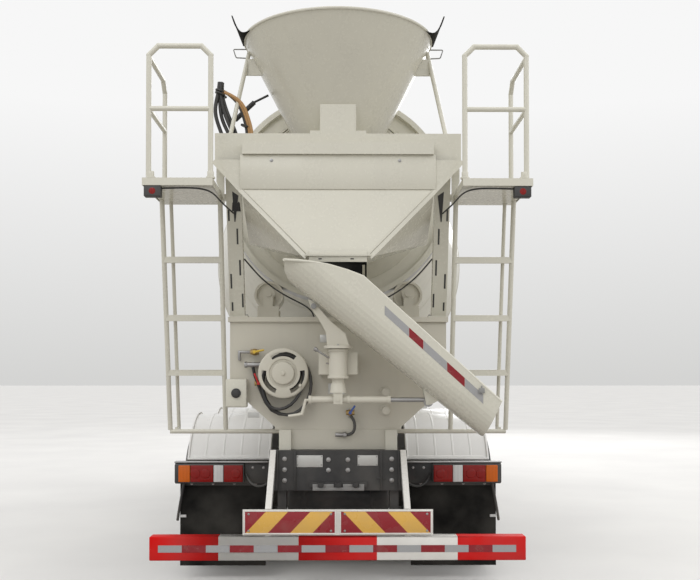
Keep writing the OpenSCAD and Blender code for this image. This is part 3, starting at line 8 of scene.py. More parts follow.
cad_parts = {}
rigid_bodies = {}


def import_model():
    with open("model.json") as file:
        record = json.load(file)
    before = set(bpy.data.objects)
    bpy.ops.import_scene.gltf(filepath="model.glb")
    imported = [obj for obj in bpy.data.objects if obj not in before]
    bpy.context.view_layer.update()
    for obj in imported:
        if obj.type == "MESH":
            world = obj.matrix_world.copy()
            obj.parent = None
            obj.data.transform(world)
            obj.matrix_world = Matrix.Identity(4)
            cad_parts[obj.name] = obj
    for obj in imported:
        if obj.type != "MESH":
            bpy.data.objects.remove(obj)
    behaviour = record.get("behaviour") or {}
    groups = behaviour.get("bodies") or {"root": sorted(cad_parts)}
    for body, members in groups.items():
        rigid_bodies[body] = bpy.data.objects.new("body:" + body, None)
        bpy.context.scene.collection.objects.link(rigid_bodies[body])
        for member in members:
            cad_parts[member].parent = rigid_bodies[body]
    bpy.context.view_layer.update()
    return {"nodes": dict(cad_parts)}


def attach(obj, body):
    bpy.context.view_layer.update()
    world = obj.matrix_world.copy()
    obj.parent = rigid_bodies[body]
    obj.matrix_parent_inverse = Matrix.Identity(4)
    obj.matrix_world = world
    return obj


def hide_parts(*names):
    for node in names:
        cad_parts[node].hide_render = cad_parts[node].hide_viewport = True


for leftover in list(bpy.data.objects):
    bpy.data.objects.remove(leftover)
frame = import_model()
nodes = frame["nodes"]
scene = bpy.context.scene

# Colours of the paints and bare materials, as linear red, green and blue
IVORY = (0.65, 0.63, 0.54)
CREAM = (0.61, 0.58, 0.49)
CAB_WHITE = (0.82, 0.81, 0.78)
CHASSIS_BLACK = (0.022, 0.022, 0.024)
ROAD_DUST = (0.30, 0.27, 0.225)
CEMENT = (0.47, 0.45, 0.405)
MOTTLE = (0.42, 0.40, 0.36)
RUST = (0.16, 0.075, 0.035)
SIGNAL_RED = (0.62, 0.006, 0.006)
FENDER_WHITE = (0.84, 0.83, 0.81)
DARK_RED = (0.27, 0.012, 0.02)
OCHRE = (0.72, 0.42, 0.085)
TAPE_GREY = (0.38, 0.38, 0.385)
GLASS_TINT = (0.62, 0.70, 0.69)
AMBER = (0.62, 0.13, 0.012)


# Shader tools
def shader_node(tree, kind, **settings):
    """A new node with its own settings."""
    node = tree.nodes.new(kind)
    for key, value in settings.items():
        setattr(node, key, value)
    return node


def group_tree(name, inputs, outputs):
    """An empty node group with named sockets; inputs are (name, type, default)."""
    tree = bpy.data.node_groups.new(name, "ShaderNodeTree")
    for label, kind, value in inputs:
        socket = tree.interface.new_socket(name=label, in_out="INPUT", socket_type="NodeSocket" + kind)
        socket.default_value = value
    for label, kind in outputs:
        tree.interface.new_socket(name=label, in_out="OUTPUT", socket_type="NodeSocket" + kind)
    return tree, shader_node(tree, "NodeGroupInput"), shader_node(tree, "NodeGroupOutput")


def feed(tree, socket, value):
    """Gives a socket another socket's output, a number or a plain colour."""
    if isinstance(value, bpy.types.NodeSocket):
        tree.links.new(value, socket)
    else:
        socket.default_value = value + (1.0,) if isinstance(value, tuple) else value


def own_coords(tree):
    """The place on the object itself, in metres."""
    return shader_node(tree, "ShaderNodeTexCoord").outputs["Object"]


def mixed(tree, factor, first, second):
    """A colour mix whose inputs are sockets or plain colours."""
    node = shader_node(tree, "ShaderNodeMix", data_type="RGBA")
    for label, value in (("Factor", factor), ("A", first), ("B", second)):
        feed(tree, node.inputs[label], value)
    return node.outputs["Result"]


def sums(tree, operation, *values, clamp=False):
    """One math node; each value is a socket or a number."""
    node = shader_node(tree, "ShaderNodeMath", operation=operation, use_clamp=clamp)
    for socket, value in zip(node.inputs, values):
        feed(tree, socket, value)
    return node.outputs["Value"]


def spread(tree, value, low, high, to_low=0.0, to_high=1.0):
    """Maps a value's range to another one, held inside it."""
    node = shader_node(tree, "ShaderNodeMapRange", clamp=True)
    for label, setting in (("Value", value), ("From Min", low), ("From Max", high), ("To Min", to_low),
                           ("To Max", to_high)):
        feed(tree, node.inputs[label], setting)
    return node.outputs["Result"]


def grain(tree, coords, size, detail=4.0, stretch=None):
    """A noise pattern in object coordinates; stretch scales its axes."""
    if stretch:
        mapping = shader_node(tree, "ShaderNodeMapping")
        mapping.inputs["Scale"].default_value = stretch
        tree.links.new(coords, mapping.inputs["Vector"])
        coords = mapping.outputs["Vector"]
    node = shader_node(tree, "ShaderNodeTexNoise")
    tree.links.new(coords, node.inputs["Vector"])
    feed(tree, node.inputs["Scale"], size)
    node.inputs["Detail"].default_value = detail
    return node.outputs["Fac"]


def weather_group():
    """Sprayed paint with soft mottling, dust that thickens toward the road, and run-down streaks."""
    tree, given, out = group_tree(
        "Weathered coat",
        [("Paint", "Color", IVORY + (1,)), ("Dirt", "Color", ROAD_DUST + (1,)), ("Clean gloss", "Float", 0.25),
         ("Dirt top", "Float", 0.9), ("Dirt amount", "Float", 0.5), ("Streaks", "Float", 0.2),
         ("Peel size", "Float", 220.0)],
        [("Color", "Color"), ("Roughness", "Float"), ("Height", "Float")])
    coords = own_coords(tree)
    place = shader_node(tree, "ShaderNodeSeparateXYZ")
    tree.links.new(coords, place.inputs["Vector"])
    low_down = spread(tree, place.outputs["Z"], 0.25, given.outputs["Dirt top"], 1.0, 0.0)
    patches = grain(tree, coords, 3.1, 6.0)
    specks = grain(tree, coords, 46.0, 5.0)
    runs = grain(tree, coords, 2.4, 5.0, (4.2, 4.2, 0.32))
    dust = sums(tree, "MULTIPLY", spread(tree, patches, 0.36, 0.68), low_down)
    dust = sums(tree, "MULTIPLY", dust, given.outputs["Dirt amount"])
    stains = sums(tree, "MULTIPLY", spread(tree, runs, 0.52, 0.74), given.outputs["Streaks"])
    flecks = sums(tree, "MULTIPLY", spread(tree, specks, 0.66, 0.78), given.outputs["Streaks"])
    mask = sums(tree, "ADD", sums(tree, "ADD", dust, stains), sums(tree, "MULTIPLY", flecks, 0.35), clamp=True)
    tone = mixed(tree, spread(tree, patches, 0.3, 0.7, 0.0, 0.10), given.outputs["Paint"], MOTTLE)
    tree.links.new(mixed(tree, mask, tone, given.outputs["Dirt"]), out.inputs["Color"])
    rough = spread(tree, mask, 0.0, 1.0, given.outputs["Clean gloss"], 0.85)
    tree.links.new(sums(tree, "ADD", rough, spread(tree, specks, 0.3, 0.7, -0.03, 0.05)), out.inputs["Roughness"])
    peel = grain(tree, coords, given.outputs["Peel size"], 2.0)
    tree.links.new(sums(tree, "ADD", sums(tree, "MULTIPLY", peel, 0.35), sums(tree, "MULTIPLY", mask, 0.6)),
                   out.inputs["Height"])
    return tree


WEATHER = weather_group()


def new_material(name):
    """A material with its node tree and its shader."""
    material = bpy.data.materials.new(name)
    material.use_nodes = True
    return material, material.node_tree, material.node_tree.nodes["Principled BSDF"]


def preset(node, values):
    """Fixed values for a node's named inputs."""
    for label, value in values.items():
        node.inputs[label].default_value = value


def bump_from(tree, height, strength, distance, shader):
    """Relief on a shader from a height."""
    bump = shader_node(tree, "ShaderNodeBump")
    preset(bump, {"Strength": strength, "Distance": distance})
    tree.links.new(height, bump.inputs["Height"])
    tree.links.new(bump.outputs["Normal"], shader.inputs["Normal"])


def coated(name, paint, dirt=ROAD_DUST, gloss=0.25, top=1.1, amount=0.5, streaks=0.12, peel=220.0, relief=0.06,
           metallic=0.0, coat=0.0, shine=0.5):
    """A painted or bare surface made from the weathering group with its own values."""
    material, tree, shader = new_material(name)
    coat_group = shader_node(tree, "ShaderNodeGroup", node_tree=WEATHER)
    preset(coat_group, {"Paint": paint + (1,), "Dirt": dirt + (1,), "Clean gloss": gloss, "Dirt top": top,
                        "Dirt amount": amount, "Streaks": streaks, "Peel size": peel})
    tree.links.new(coat_group.outputs["Color"], shader.inputs["Base Color"])
    tree.links.new(coat_group.outputs["Roughness"], shader.inputs["Roughness"])
    bump_from(tree, coat_group.outputs["Height"], relief, 0.002, shader)
    preset(shader, {"Metallic": metallic, "Specular IOR Level": shine, "Coat Weight": coat,
                    "Coat Roughness": 0.12})
    return material


def glazing():
    """Faintly tinted window glass with a little dust on it."""
    material, tree, shader = new_material("Window glass")
    preset(shader, {"Base Color": GLASS_TINT + (1,), "Transmission Weight": 1.0, "IOR": 1.45})
    coords = own_coords(tree)
    tree.links.new(spread(tree, grain(tree, coords, 5.0, 6.0), 0.45, 0.75, 0.02, 0.16), shader.inputs["Roughness"])
    return material


def lens(name, colour, painted_glow=0.0):
    """Moulded lamp lens with fine optic ribs; its faint emission is painted glow for daylight off the bright reflector
    behind it.
    """
    material, tree, shader = new_material(name)
    coords = own_coords(tree)
    ribs = shader_node(tree, "ShaderNodeTexWave", wave_type="BANDS", bands_direction="X")
    ribs.inputs["Scale"].default_value = 30.0
    tree.links.new(coords, ribs.inputs["Vector"])
    shade = spread(tree, ribs.outputs["Fac"], 0.2, 0.9, 0.0, 0.55)
    dark = tuple(0.55 * part for part in colour)
    tree.links.new(mixed(tree, shade, colour, dark), shader.inputs["Base Color"])
    rough = spread(tree, grain(tree, coords, 18.0), 0.3, 0.7, 0.10, 0.2)
    tree.links.new(rough, shader.inputs["Roughness"])
    bump_from(tree, ribs.outputs["Fac"], 0.3, 0.002, shader)
    # The emission is painted light, a faint glow that stands in for daylight off the reflector.
    preset(shader, {"Specular IOR Level": 0.2, "Coat Weight": 0.25, "Emission Color": colour + (1,),
                    "Emission Strength": painted_glow})
    return material


def honeycomb(tree, coords, size):
    """The fine cells of reflective sheet."""
    cells = shader_node(tree, "ShaderNodeTexVoronoi")
    cells.inputs["Scale"].default_value = size
    tree.links.new(coords, cells.inputs["Vector"])
    return cells.outputs["Distance"]


def crossed_board(lean):
    """Marker plate: dark red with leaning ochre bars of its own width, dulled by dust."""
    material, tree, shader = new_material("Marker plate " + ("right" if lean > 0 else "left"))
    coords = own_coords(tree)
    place = shader_node(tree, "ShaderNodeSeparateXYZ")
    tree.links.new(coords, place.inputs["Vector"])
    foot, outer_end, slope, bars_per_metre = 0.499, 0.600, 0.95, 3.45
    height = sums(tree, "MULTIPLY", sums(tree, "SUBTRACT", place.outputs["Z"], foot), slope)
    outward = sums(tree, "ADD", sums(tree, "MULTIPLY", place.outputs["X"], lean), height)
    inward = sums(tree, "SUBTRACT", outer_end, outward)
    wave = sums(tree, "FRACT", sums(tree, "ADD", sums(tree, "MULTIPLY", inward, bars_per_metre), 0.5))
    bar = sums(tree, "GREATER_THAN", wave, 0.5)
    cells = honeycomb(tree, coords, 240.0)
    dust = spread(tree, grain(tree, coords, 9.0), 0.45, 0.8, 0.0, 0.18)
    face = mixed(tree, dust, mixed(tree, bar, DARK_RED, OCHRE), ROAD_DUST)
    tree.links.new(face, shader.inputs["Base Color"])
    tree.links.new(spread(tree, dust, 0.0, 0.35, 0.25, 0.6), shader.inputs["Roughness"])
    bump_from(tree, cells, 0.25, 0.001, shader)
    return material


def reflective(name, colour):
    """Stick-on reflective tape with its fine honeycomb of cells."""
    material, tree, shader = new_material(name)
    coords = own_coords(tree)
    cells = honeycomb(tree, coords, 260.0)
    soot = spread(tree, grain(tree, coords, 14.0), 0.5, 0.85, 0.0, 0.2)
    dark = tuple(0.6 * part for part in colour)
    cell_tone = mixed(tree, spread(tree, cells, 0.1, 0.6, 0.0, 0.25), colour, dark)
    tree.links.new(mixed(tree, soot, cell_tone, ROAD_DUST), shader.inputs["Base Color"])
    tree.links.new(spread(tree, soot, 0.0, 0.4, 0.22, 0.6), shader.inputs["Roughness"])
    bump_from(tree, cells, 0.2, 0.001, shader)
    return material


body_paint = coated("Ivory truck enamel", IVORY, CEMENT, 0.24, 1.6, 0.45, 0.10, coat=0.25)
drum_paint = coated("Drum enamel with cement haze", IVORY, CEMENT, 0.30, 1.8, 0.3, 0.22, coat=0.2)
cream_paint = coated("Cream undercoat enamel", CREAM, CEMENT, 0.34, 1.9, 0.4, 0.16)
cab_paint = coated("Cab enamel", CAB_WHITE, ROAD_DUST, 0.16, 1.1, 0.4, 0.05, coat=0.5)
chassis_paint = coated("Chassis black", CHASSIS_BLACK, ROAD_DUST, 0.42, 1.0, 0.35, 0.05)
fender_paint = coated("Fender enamel with road film", FENDER_WHITE, ROAD_DUST, 0.30, 1.1, 0.06, 0.03, coat=0.3)
moulded_black = coated("Black moulded plastic", (0.03, 0.03, 0.032), ROAD_DUST, 0.5, 0.9, 0.4, 0.05, 420.0, 0.15)
soft_rubber = coated("Weathered rubber", (0.005, 0.005, 0.005), ROAD_DUST, 0.8, 0.8, 0.03, 0.01, 150.0, 0.2,
                     shine=0.04)
tyre_rubber = coated("Tyre rubber", (0.024, 0.024, 0.025), ROAD_DUST, 0.62, 1.1, 0.45, 0.1, 180.0, 0.25)
rim_paint = coated("Silver rim paint", (0.42, 0.43, 0.44), ROAD_DUST, 0.3, 1.0, 0.5, 0.15, metallic=0.55)
bare_steel = coated("Worn bare steel", (0.42, 0.42, 0.42), RUST, 0.32, 2.4, 0.25, 0.18, metallic=0.9)
greased_iron = coated("Oily cast iron", (0.12, 0.125, 0.13), ROAD_DUST, 0.5, 1.3, 0.4, 0.1, 90.0, 0.3, metallic=0.5)
tank_metal = coated("Brushed tank alloy", (0.56, 0.57, 0.58), ROAD_DUST, 0.28, 1.1, 0.4, 0.1, metallic=0.9)
seat_cloth = coated("Cabin trim", (0.07, 0.07, 0.08), ROAD_DUST, 0.7, 1.3, 0.2, 0.02, 500.0, 0.3)
red_enamel = coated("Red bar enamel", SIGNAL_RED, DARK_RED, 0.4, 0.8, 0.2, 0.05, shine=0.03)
white_enamel = coated("White bar enamel", (0.80, 0.78, 0.74), ROAD_DUST, 0.26, 0.8, 0.3, 0.05, coat=0.3)
grey_tape = reflective("Silver reflective tape", TAPE_GREY)
red_tape = reflective("Red reflective tape", DARK_RED)
# The red and amber lenses get a faint painted glow for daylight off their reflectors.
red_lens = lens("Red lamp lens", (0.26, 0.010, 0.008), 0.02)
amber_lens = lens("Amber lamp lens", AMBER, 0.05)
clear_lens = lens("Clear lamp lens", (0.70, 0.70, 0.69))
window_glass = glazing()
brass = coated("Dull brass", (0.50, 0.34, 0.13), RUST, 0.3, 1.8, 0.2, 0.1, metallic=0.9)
red_dip = coated("Red dipped plastic", (0.60, 0.02, 0.02), ROAD_DUST, 0.4, 1.0, 0.2, 0.02)
yellow_dip = coated("Yellow dipped plastic", (0.75, 0.50, 0.04), ROAD_DUST, 0.4, 1.0, 0.2, 0.02)
blue_dip = coated("Blue dipped plastic", (0.03, 0.10, 0.42), ROAD_DUST, 0.4, 1.0, 0.2, 0.02)
blank_plate = coated("Blank alloy plate", (0.62, 0.62, 0.60), ROAD_DUST, 0.3, 1.6, 0.3, 0.08, metallic=0.4)
# This black rubber is also the painted shade in the holes of the posts and the slots of the outlet lip.
hose_rubber_and_hole_shade = coated("Hose rubber and painted hole shade", (0.016, 0.016, 0.017), CEMENT, 0.42, 1.6, 0.2, 0.08, 300.0, 0.12)
tan_hose = coated("Tan sleeved hose", (0.46, 0.25, 0.09), ROAD_DUST, 0.5, 1.0, 0.2, 0.08, 300.0, 0.15)
grey_paint = coated("Grey machine paint", (0.26, 0.26, 0.255), ROAD_DUST, 0.4, 1.2, 0.3, 0.1)
blade_metal = coated("Cement-worn blade plate", (0.50, 0.49, 0.455), CEMENT, 0.45, 3.2, 0.5, 0.3)
mirror_silver = coated("Mirror silvering", (0.85, 0.86, 0.86), ROAD_DUST, 0.03, 0.6, 0.1, 0.02, metallic=1.0)

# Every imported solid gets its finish
FINISH = {
    body_paint: ["subframe", "front_pedestal", "water_tank", "hopper_frame", "collector", "funnel", "platforms",
                 "ladders", "chute"],
    fender_paint: ["rear_fenders"],
    cab_paint: ["cab_shell", "door_left", "door_right"],
    drum_paint: ["drum"],
    cream_paint: ["rear_support", "chute_column", "jack_tube", "hose_reel", "roller_left", "roller_right"],
    chassis_paint: ["frame", "front_axle", "rear_axles", "front_steps", "air_intake", "knuckle_left",
                    "knuckle_right"],
    moulded_black: ["front_bumper", "grille", "mirrors"],
    soft_rubber: ["rubber_flaps", "hoses"],
    tyre_rubber: [name for name in nodes if name.startswith("tyre")],
    rim_paint: [name for name in nodes if name.startswith("rim")],
    bare_steel: ["drum_drive", "tie_rod", "jack_rod"],
    greased_iron: ["engine"],
    tank_metal: ["side_tanks"],
    seat_cloth: ["cab_interior"],
    window_glass: ["cab_glass", "door_glass_left", "door_glass_right"],
    white_enamel: ["underrun_bar", "marker_board"],
    red_lens: ["lamps"],
}
for finish, names in FINISH.items():
    for name in names:
        nodes[name].data.materials.clear()
        nodes[name].data.materials.append(finish)


# Workshop tools
def bare():
    """Object mode with nothing selected."""
    if bpy.context.object and bpy.context.object.mode != "OBJECT":
        bpy.ops.object.mode_set(mode="OBJECT")
    bpy.ops.object.select_all(action="DESELECT")


def pick(piece):
    """Selects one piece and makes it the active one."""
    bare()
    piece.select_set(True)
    bpy.context.view_layer.objects.active = piece


def named(name):
    """Names the active piece and its mesh."""
    piece = bpy.context.active_object
    piece.name = name
    piece.data.name = name
    return piece


def rounded(piece, edge, segments=2):
    """Breaks the sharp edges of a piece."""
    pick(piece)
    bevel = piece.modifiers.new("Broken edges", "BEVEL")
    bevel.width = edge
    bevel.segments = segments
    bevel.limit_method = "ANGLE"
    bevel.angle_limit = radians(32)
    bpy.ops.object.modifier_apply(modifier=bevel.name)
    return piece


def slab(name, low, high, edge=0.003, segments=2):
    """A block between two corners with rounded edges."""
    low, high = Vector(low), Vector(high)
    bare()
    bpy.ops.mesh.primitive_cube_add(size=1, location=(low + high) / 2)
    piece = named(name)
    piece.scale = high - low
    bpy.ops.object.transform_apply(location=True, rotation=True, scale=True)
    return rounded(piece, edge, segments) if edge else piece


def turned(name, start, end, radius, edge=0.002, sides=32, tip=None):
    """A round bar or disc between two points; tip gives another radius at its end."""
    start, end = Vector(start), Vector(end)
    bare()
    bpy.ops.mesh.primitive_cone_add(vertices=sides, radius1=radius, radius2=radius if tip is None else tip,
                                    depth=(end - start).length, location=(start + end) / 2,
                                    rotation=(end - start).to_track_quat("Z", "Y").to_euler())
    piece = named(name)
    bpy.ops.object.transform_apply(location=True, rotation=True, scale=True)
    return rounded(piece, edge) if edge else piece


def drawn_tube(name, points, radius, smooth=True, sides=3, step=6):
    """A tube drawn along points, closed at both ends."""
    line = bpy.data.curves.new(name, "CURVE")
    line.dimensions = "3D"
    line.bevel_depth = radius
    line.bevel_resolution = sides
    line.use_fill_caps = True
    spline = line.splines.new("NURBS" if smooth else "POLY")
    spline.points.add(len(points) - 1)
    for knot, point in zip(spline.points, points):
        knot.co = (*point, 1.0)
    if smooth:
        spline.order_u = 4
        spline.use_endpoint_u = True
        spline.resolution_u = step
    piece = bpy.data.objects.new(name, line)
    scene.collection.objects.link(piece)
    pick(piece)
    bpy.ops.object.convert(target="MESH")
    return named(name)


def welded(name, pieces):
    """Joins pieces into one object that keeps their materials."""
    bare()
    for piece in pieces:
        piece.select_set(True)
    bpy.context.view_layer.objects.active = pieces[0]
    if len(pieces) > 1:
        bpy.ops.object.join()
    return named(name)


def coat(piece, finish):
    """Gives a piece one finish."""
    piece.data.materials.clear()
    piece.data.materials.append(finish)
    return piece


def settle(piece, body, finish=None, smooth=32):
    """The last step of a piece: its place goes into its mesh, then it gets its finish and body."""
    pick(piece)
    bpy.ops.object.transform_apply(location=True, rotation=True, scale=True)
    bpy.ops.object.shade_smooth_by_angle(angle=radians(smooth))
    if finish:
        coat(piece, finish)
    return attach(piece, body)


def copy_at(master, name, matrix):
    """A copy with its own mesh, moved by a matrix."""
    twin = master.copy()
    twin.data = master.data.copy()
    twin.name = name
    scene.collection.objects.link(twin)
    twin.data.transform(matrix)
    if matrix.determinant() < 0:
        twin.data.flip_normals()
    return twin


MIRROR_X = Matrix.Diagonal((-1, 1, 1, 1))


def both(master, name):
    """The piece and its mirror image on the other side, as one object."""
    return welded(name, [master, copy_at(master, name + "_twin", MIRROR_X)])


def bolts(name, spots, across, tall):
    """Hexagon bolt heads on washers, one for each (place, outward direction)."""
    washer = turned(name + "_washer", (0, 0, 0), (0, 0, 0.002), across * 1.25, 0.0006, 20)
    head = turned(name + "_head", (0, 0, 0.002), (0, 0, 0.002 + tall), across, 0.0012, 6)
    master = welded(name + "_master", [washer, head])
    heads = []
    for place, out in spots:
        turn = Vector(out).to_track_quat("Z", "Y").to_matrix().to_4x4()
        heads.append(copy_at(master, name, Matrix.Translation(place) @ turn))
    bpy.data.objects.remove(master)
    return welded(name, heads)


def lofted(name, rings, caps=True):
    """A skin over closed rings of points, each ring with the same number of points."""
    count = len(rings[0])
    skin = bpy.data.meshes.new(name)
    faces = []
    for i in range(len(rings) - 1):
        for j in range(count):
            k = (j + 1) % count
            faces.append((i * count + j, i * count + k, (i + 1) * count + k, (i + 1) * count + j))
    if caps:
        faces.append(tuple(range(count))[::-1])
        faces.append(tuple((len(rings) - 1) * count + j for j in range(count)))
    skin.from_pydata([tuple(p) for ring in rings for p in ring], [], faces)
    piece = bpy.data.objects.new(name, skin)
    scene.collection.objects.link(piece)
    pick(piece)
    bpy.ops.object.mode_set(mode="EDIT")
    bpy.ops.mesh.select_all(action="SELECT")
    bpy.ops.mesh.normals_make_consistent(inside=False)
    bpy.ops.object.mode_set(mode="OBJECT")
    return piece


def mended(piece, gap=0.00005, outward=False):
    """Closes the seams of a skin, and turns its faces outward where asked."""
    pick(piece)
    bpy.ops.object.mode_set(mode="EDIT")
    bpy.ops.mesh.select_all(action="SELECT")
    bpy.ops.mesh.remove_doubles(threshold=gap)
    if outward:
        bpy.ops.mesh.normals_make_consistent(inside=False)
    bpy.ops.object.mode_set(mode="OBJECT")
    return piece


def spun(name, line, count, place, outward=False):
    """A closed section turned once round an axis; place gives the point for (radius, distance, angle)."""
    rings = [[place(r, s, 2 * pi * k / count) for r, s in line] for k in range(count + 1)]
    return mended(lofted(name, rings, caps=False), outward=outward)


def fitted(name, pieces, body, finish=None, smooth=32):
    """Welds pieces into one and settles it."""
    return settle(welded(name, pieces), body, finish, smooth)


def fitted_pair(name, pieces, body, finish=None, smooth=32):
    """Welds the pieces of one side, adds the other side's mirror image and settles both as one."""
    return settle(both(welded(name, pieces), name), body, finish, smooth)


def screwed(name, spots, across, tall, body="chassis"):
    """Steel bolt heads, settled on a body."""
    settle(bolts(name, spots, across, tall), body, bare_steel)


# Underrun bar and marker board
BAR_Y = -4.250
BAR_EDGES = (-1.225, -0.776, -0.256, 0.254, 0.779, 1.225)


def underrun_bar():
    """Box section bar in painted bands, with a broken line of reflective tape at mid height."""
    bands = []
    for i, (left, right) in enumerate(zip(BAR_EDGES, BAR_EDGES[1:])):
        band = slab("bar_band", (left, BAR_Y, 0.320), (right, BAR_Y + 0.110, 0.475), 0.0)
        bands.append(coat(band, red_enamel if i % 2 == 0 else white_enamel))
    bar = rounded(mended(welded("underrun_bar_painted", bands), 0.0005), 0.007, 3)
    settle(bar, "chassis")
    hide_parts("underrun_bar")
    middles = [-1.09 + 0.3105 * k for k in range(8)]
    for name, at, low, high, tape in (("underrun_bar_silver_tape", middles, -0.077, 0.077, grey_tape),
                                      ("underrun_bar_red_tape", middles[:-1], 0.078, 0.233, red_tape)):
        pieces = [slab("tape", (x + low, BAR_Y - 0.0012, 0.374), (x + high, BAR_Y + 0.001, 0.420), 0.0)
                  for x in at]
        fitted(name, pieces, "chassis", tape)


def marker_board():
    """Two framed plates with leaning bars on a white board, and corner screws."""
    for low, high, finish in ((-0.604, -0.020, crossed_board(-1.0)), (0.020, 0.604, crossed_board(1.0))):
        plate = slab("marker_plate", (low, BAR_Y - 0.001, 0.499), (high, BAR_Y + 0.007, 0.638), 0.002)
        settle(plate, "chassis", finish)
    rims = []
    for low, high in ((-0.612, -0.012), (0.012, 0.612)):
        for z in (0.492, 0.638):
            rims.append(slab("rim", (low, BAR_Y - 0.0035, z), (high, BAR_Y + 0.006, z + 0.007), 0.002))
        for x in (low, high - 0.007):
            rims.append(slab("rim", (x, BAR_Y - 0.0035, 0.499), (x + 0.007, BAR_Y + 0.006, 0.638), 0.002))
    fitted("marker_board_rims", rims, "chassis", white_enamel)
    spots = [((x, BAR_Y - 0.001, z), (0, -1, 0)) for x in (-0.58, -0.045, 0.045, 0.58) for z in (0.513, 0.622)]
    settle(bolts("marker_board_screws", spots, 0.006, 0.003), "chassis", bare_steel)


# Lamps
def tail_lamp_half():
    """The right tail lamp: housing, three lens fields and their ribs."""
    y = -3.400
    parts = []
    for low, high, finish in ((0.709, 0.850, red_lens), (0.853, 0.925, clear_lens), (0.928, 1.096, red_lens),
                              (1.099, 1.186, amber_lens)):
        parts.append(coat(slab("field", (low, y - 0.006, 0.735), (high, y + 0.05, 0.859), 0.006, 3), finish))
    for x in (0.760, 0.985, 1.060):
        ring = turned("ring", (x, y - 0.010, 0.797), (x, y, 0.797), 0.034, 0.003, 28, 0.040)
        parts.append(coat(ring, red_lens))
    for name, low, high, edge, finish in (
            ("shell", (0.700, y + 0.004, 0.726), (1.216, y + 0.062, 0.868), 0.008, moulded_black),
            ("tray", (0.500, y + 0.060, 0.716), (1.222, y + 0.090, 0.885), 0.006, chassis_paint),
            ("hood", (0.500, y + 0.030, 0.873), (1.222, y + 0.066, 0.885), 0.003, bare_steel),
            ("arm", (0.425, y + 0.060, 0.760), (0.520, y + 0.090, 0.863), 0.003, chassis_paint)):
        parts.append(coat(slab(name, low, high, edge), finish))
    return parts


def head_lamp_half():
    """The right head lamp: a bowl, a bulb cover and the clear outer lens in the bumper's pocket."""
    parts, z = [], 0.505
    for x in (0.908, 1.050):
        parts.append(coat(turned("bowl", (x, 4.405, z), (x, 4.350, z), 0.062, 0.004, 40, 0.020), bare_steel))
        parts.append(coat(turned("glass", (x, 4.404, z), (x, 4.413, z), 0.064, 0.004, 40, 0.052), clear_lens))
    parts.append(coat(slab("pocket", (0.8305, 4.340, 0.4305), (1.1295, 4.372, 0.5795), 0.004), moulded_black))
    return parts


def lamps():
    """Tail and head lamps of both sides, and the small red box lamps at the platforms' outer rear corners."""
    lamp_set = fitted_pair("lamps_detailed", tail_lamp_half() + head_lamp_half(), "chassis")
    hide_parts("lamps")
    x, y, z = 1.185, -4.398, 2.700
    box = slab("box", (x - 0.055, y, z - 0.036), (x + 0.055, y + 0.06, z + 0.036), 0.008, 3)
    glass = turned("lens", (x, y + 0.004, z), (x, y - 0.001, z), 0.026, 0.003, 32, 0.022)
    rim = turned("rim", (x, y + 0.004, z), (x, y - 0.0005, z), 0.031, 0.002, 32, 0.028)
    parts = [coat(box, moulded_black), coat(glass, red_lens), coat(rim, moulded_black)]
    fitted_pair("platform_lamps", parts, "chassis")


underrun_bar()
marker_board()
lamps()


# Rear panel: hose reel, valves and fittings
PANEL_Y = -3.700
REEL = Vector((-0.382, 0.0, 1.540))


def reel_flange(name, y, slots):
    """A pressed disc with a rolled rim, and three arc slots where asked."""
    outline = [(0.062, 0.0), (0.092, 0.0), (0.100, 0.006), (0.165, 0.006), (0.171, 0.003), (0.175, -0.003),
               (0.175, -0.006), (0.168, -0.001), (0.165, 0.002), (0.100, 0.002), (0.092, -0.003), (0.062, -0.003)]
    disc = spun(name, outline, 96, lambda r, t, a: (REEL.x + r * cos(a), y - t, REEL.z + r * sin(a)))
    for a in slots:
        cutter_rings = []
        for k in range(13):
            b = radians(a - 38 + 76 * k / 12)
            cutter_rings.append([(REEL.x + r * cos(b), y + t, REEL.z + r * sin(b))
                                 for r, t in ((0.118, -0.02), (0.150, -0.02), (0.150, 0.02), (0.118, 0.02))])
        cutter = lofted("slot_cutter", cutter_rings)
        pick(disc)
        cut = disc.modifiers.new("Slot", "BOOLEAN")
        cut.operation = "DIFFERENCE"
        cut.object = cutter
        bpy.ops.object.modifier_apply(modifier=cut.name)
        bpy.data.objects.remove(cutter)
    return disc


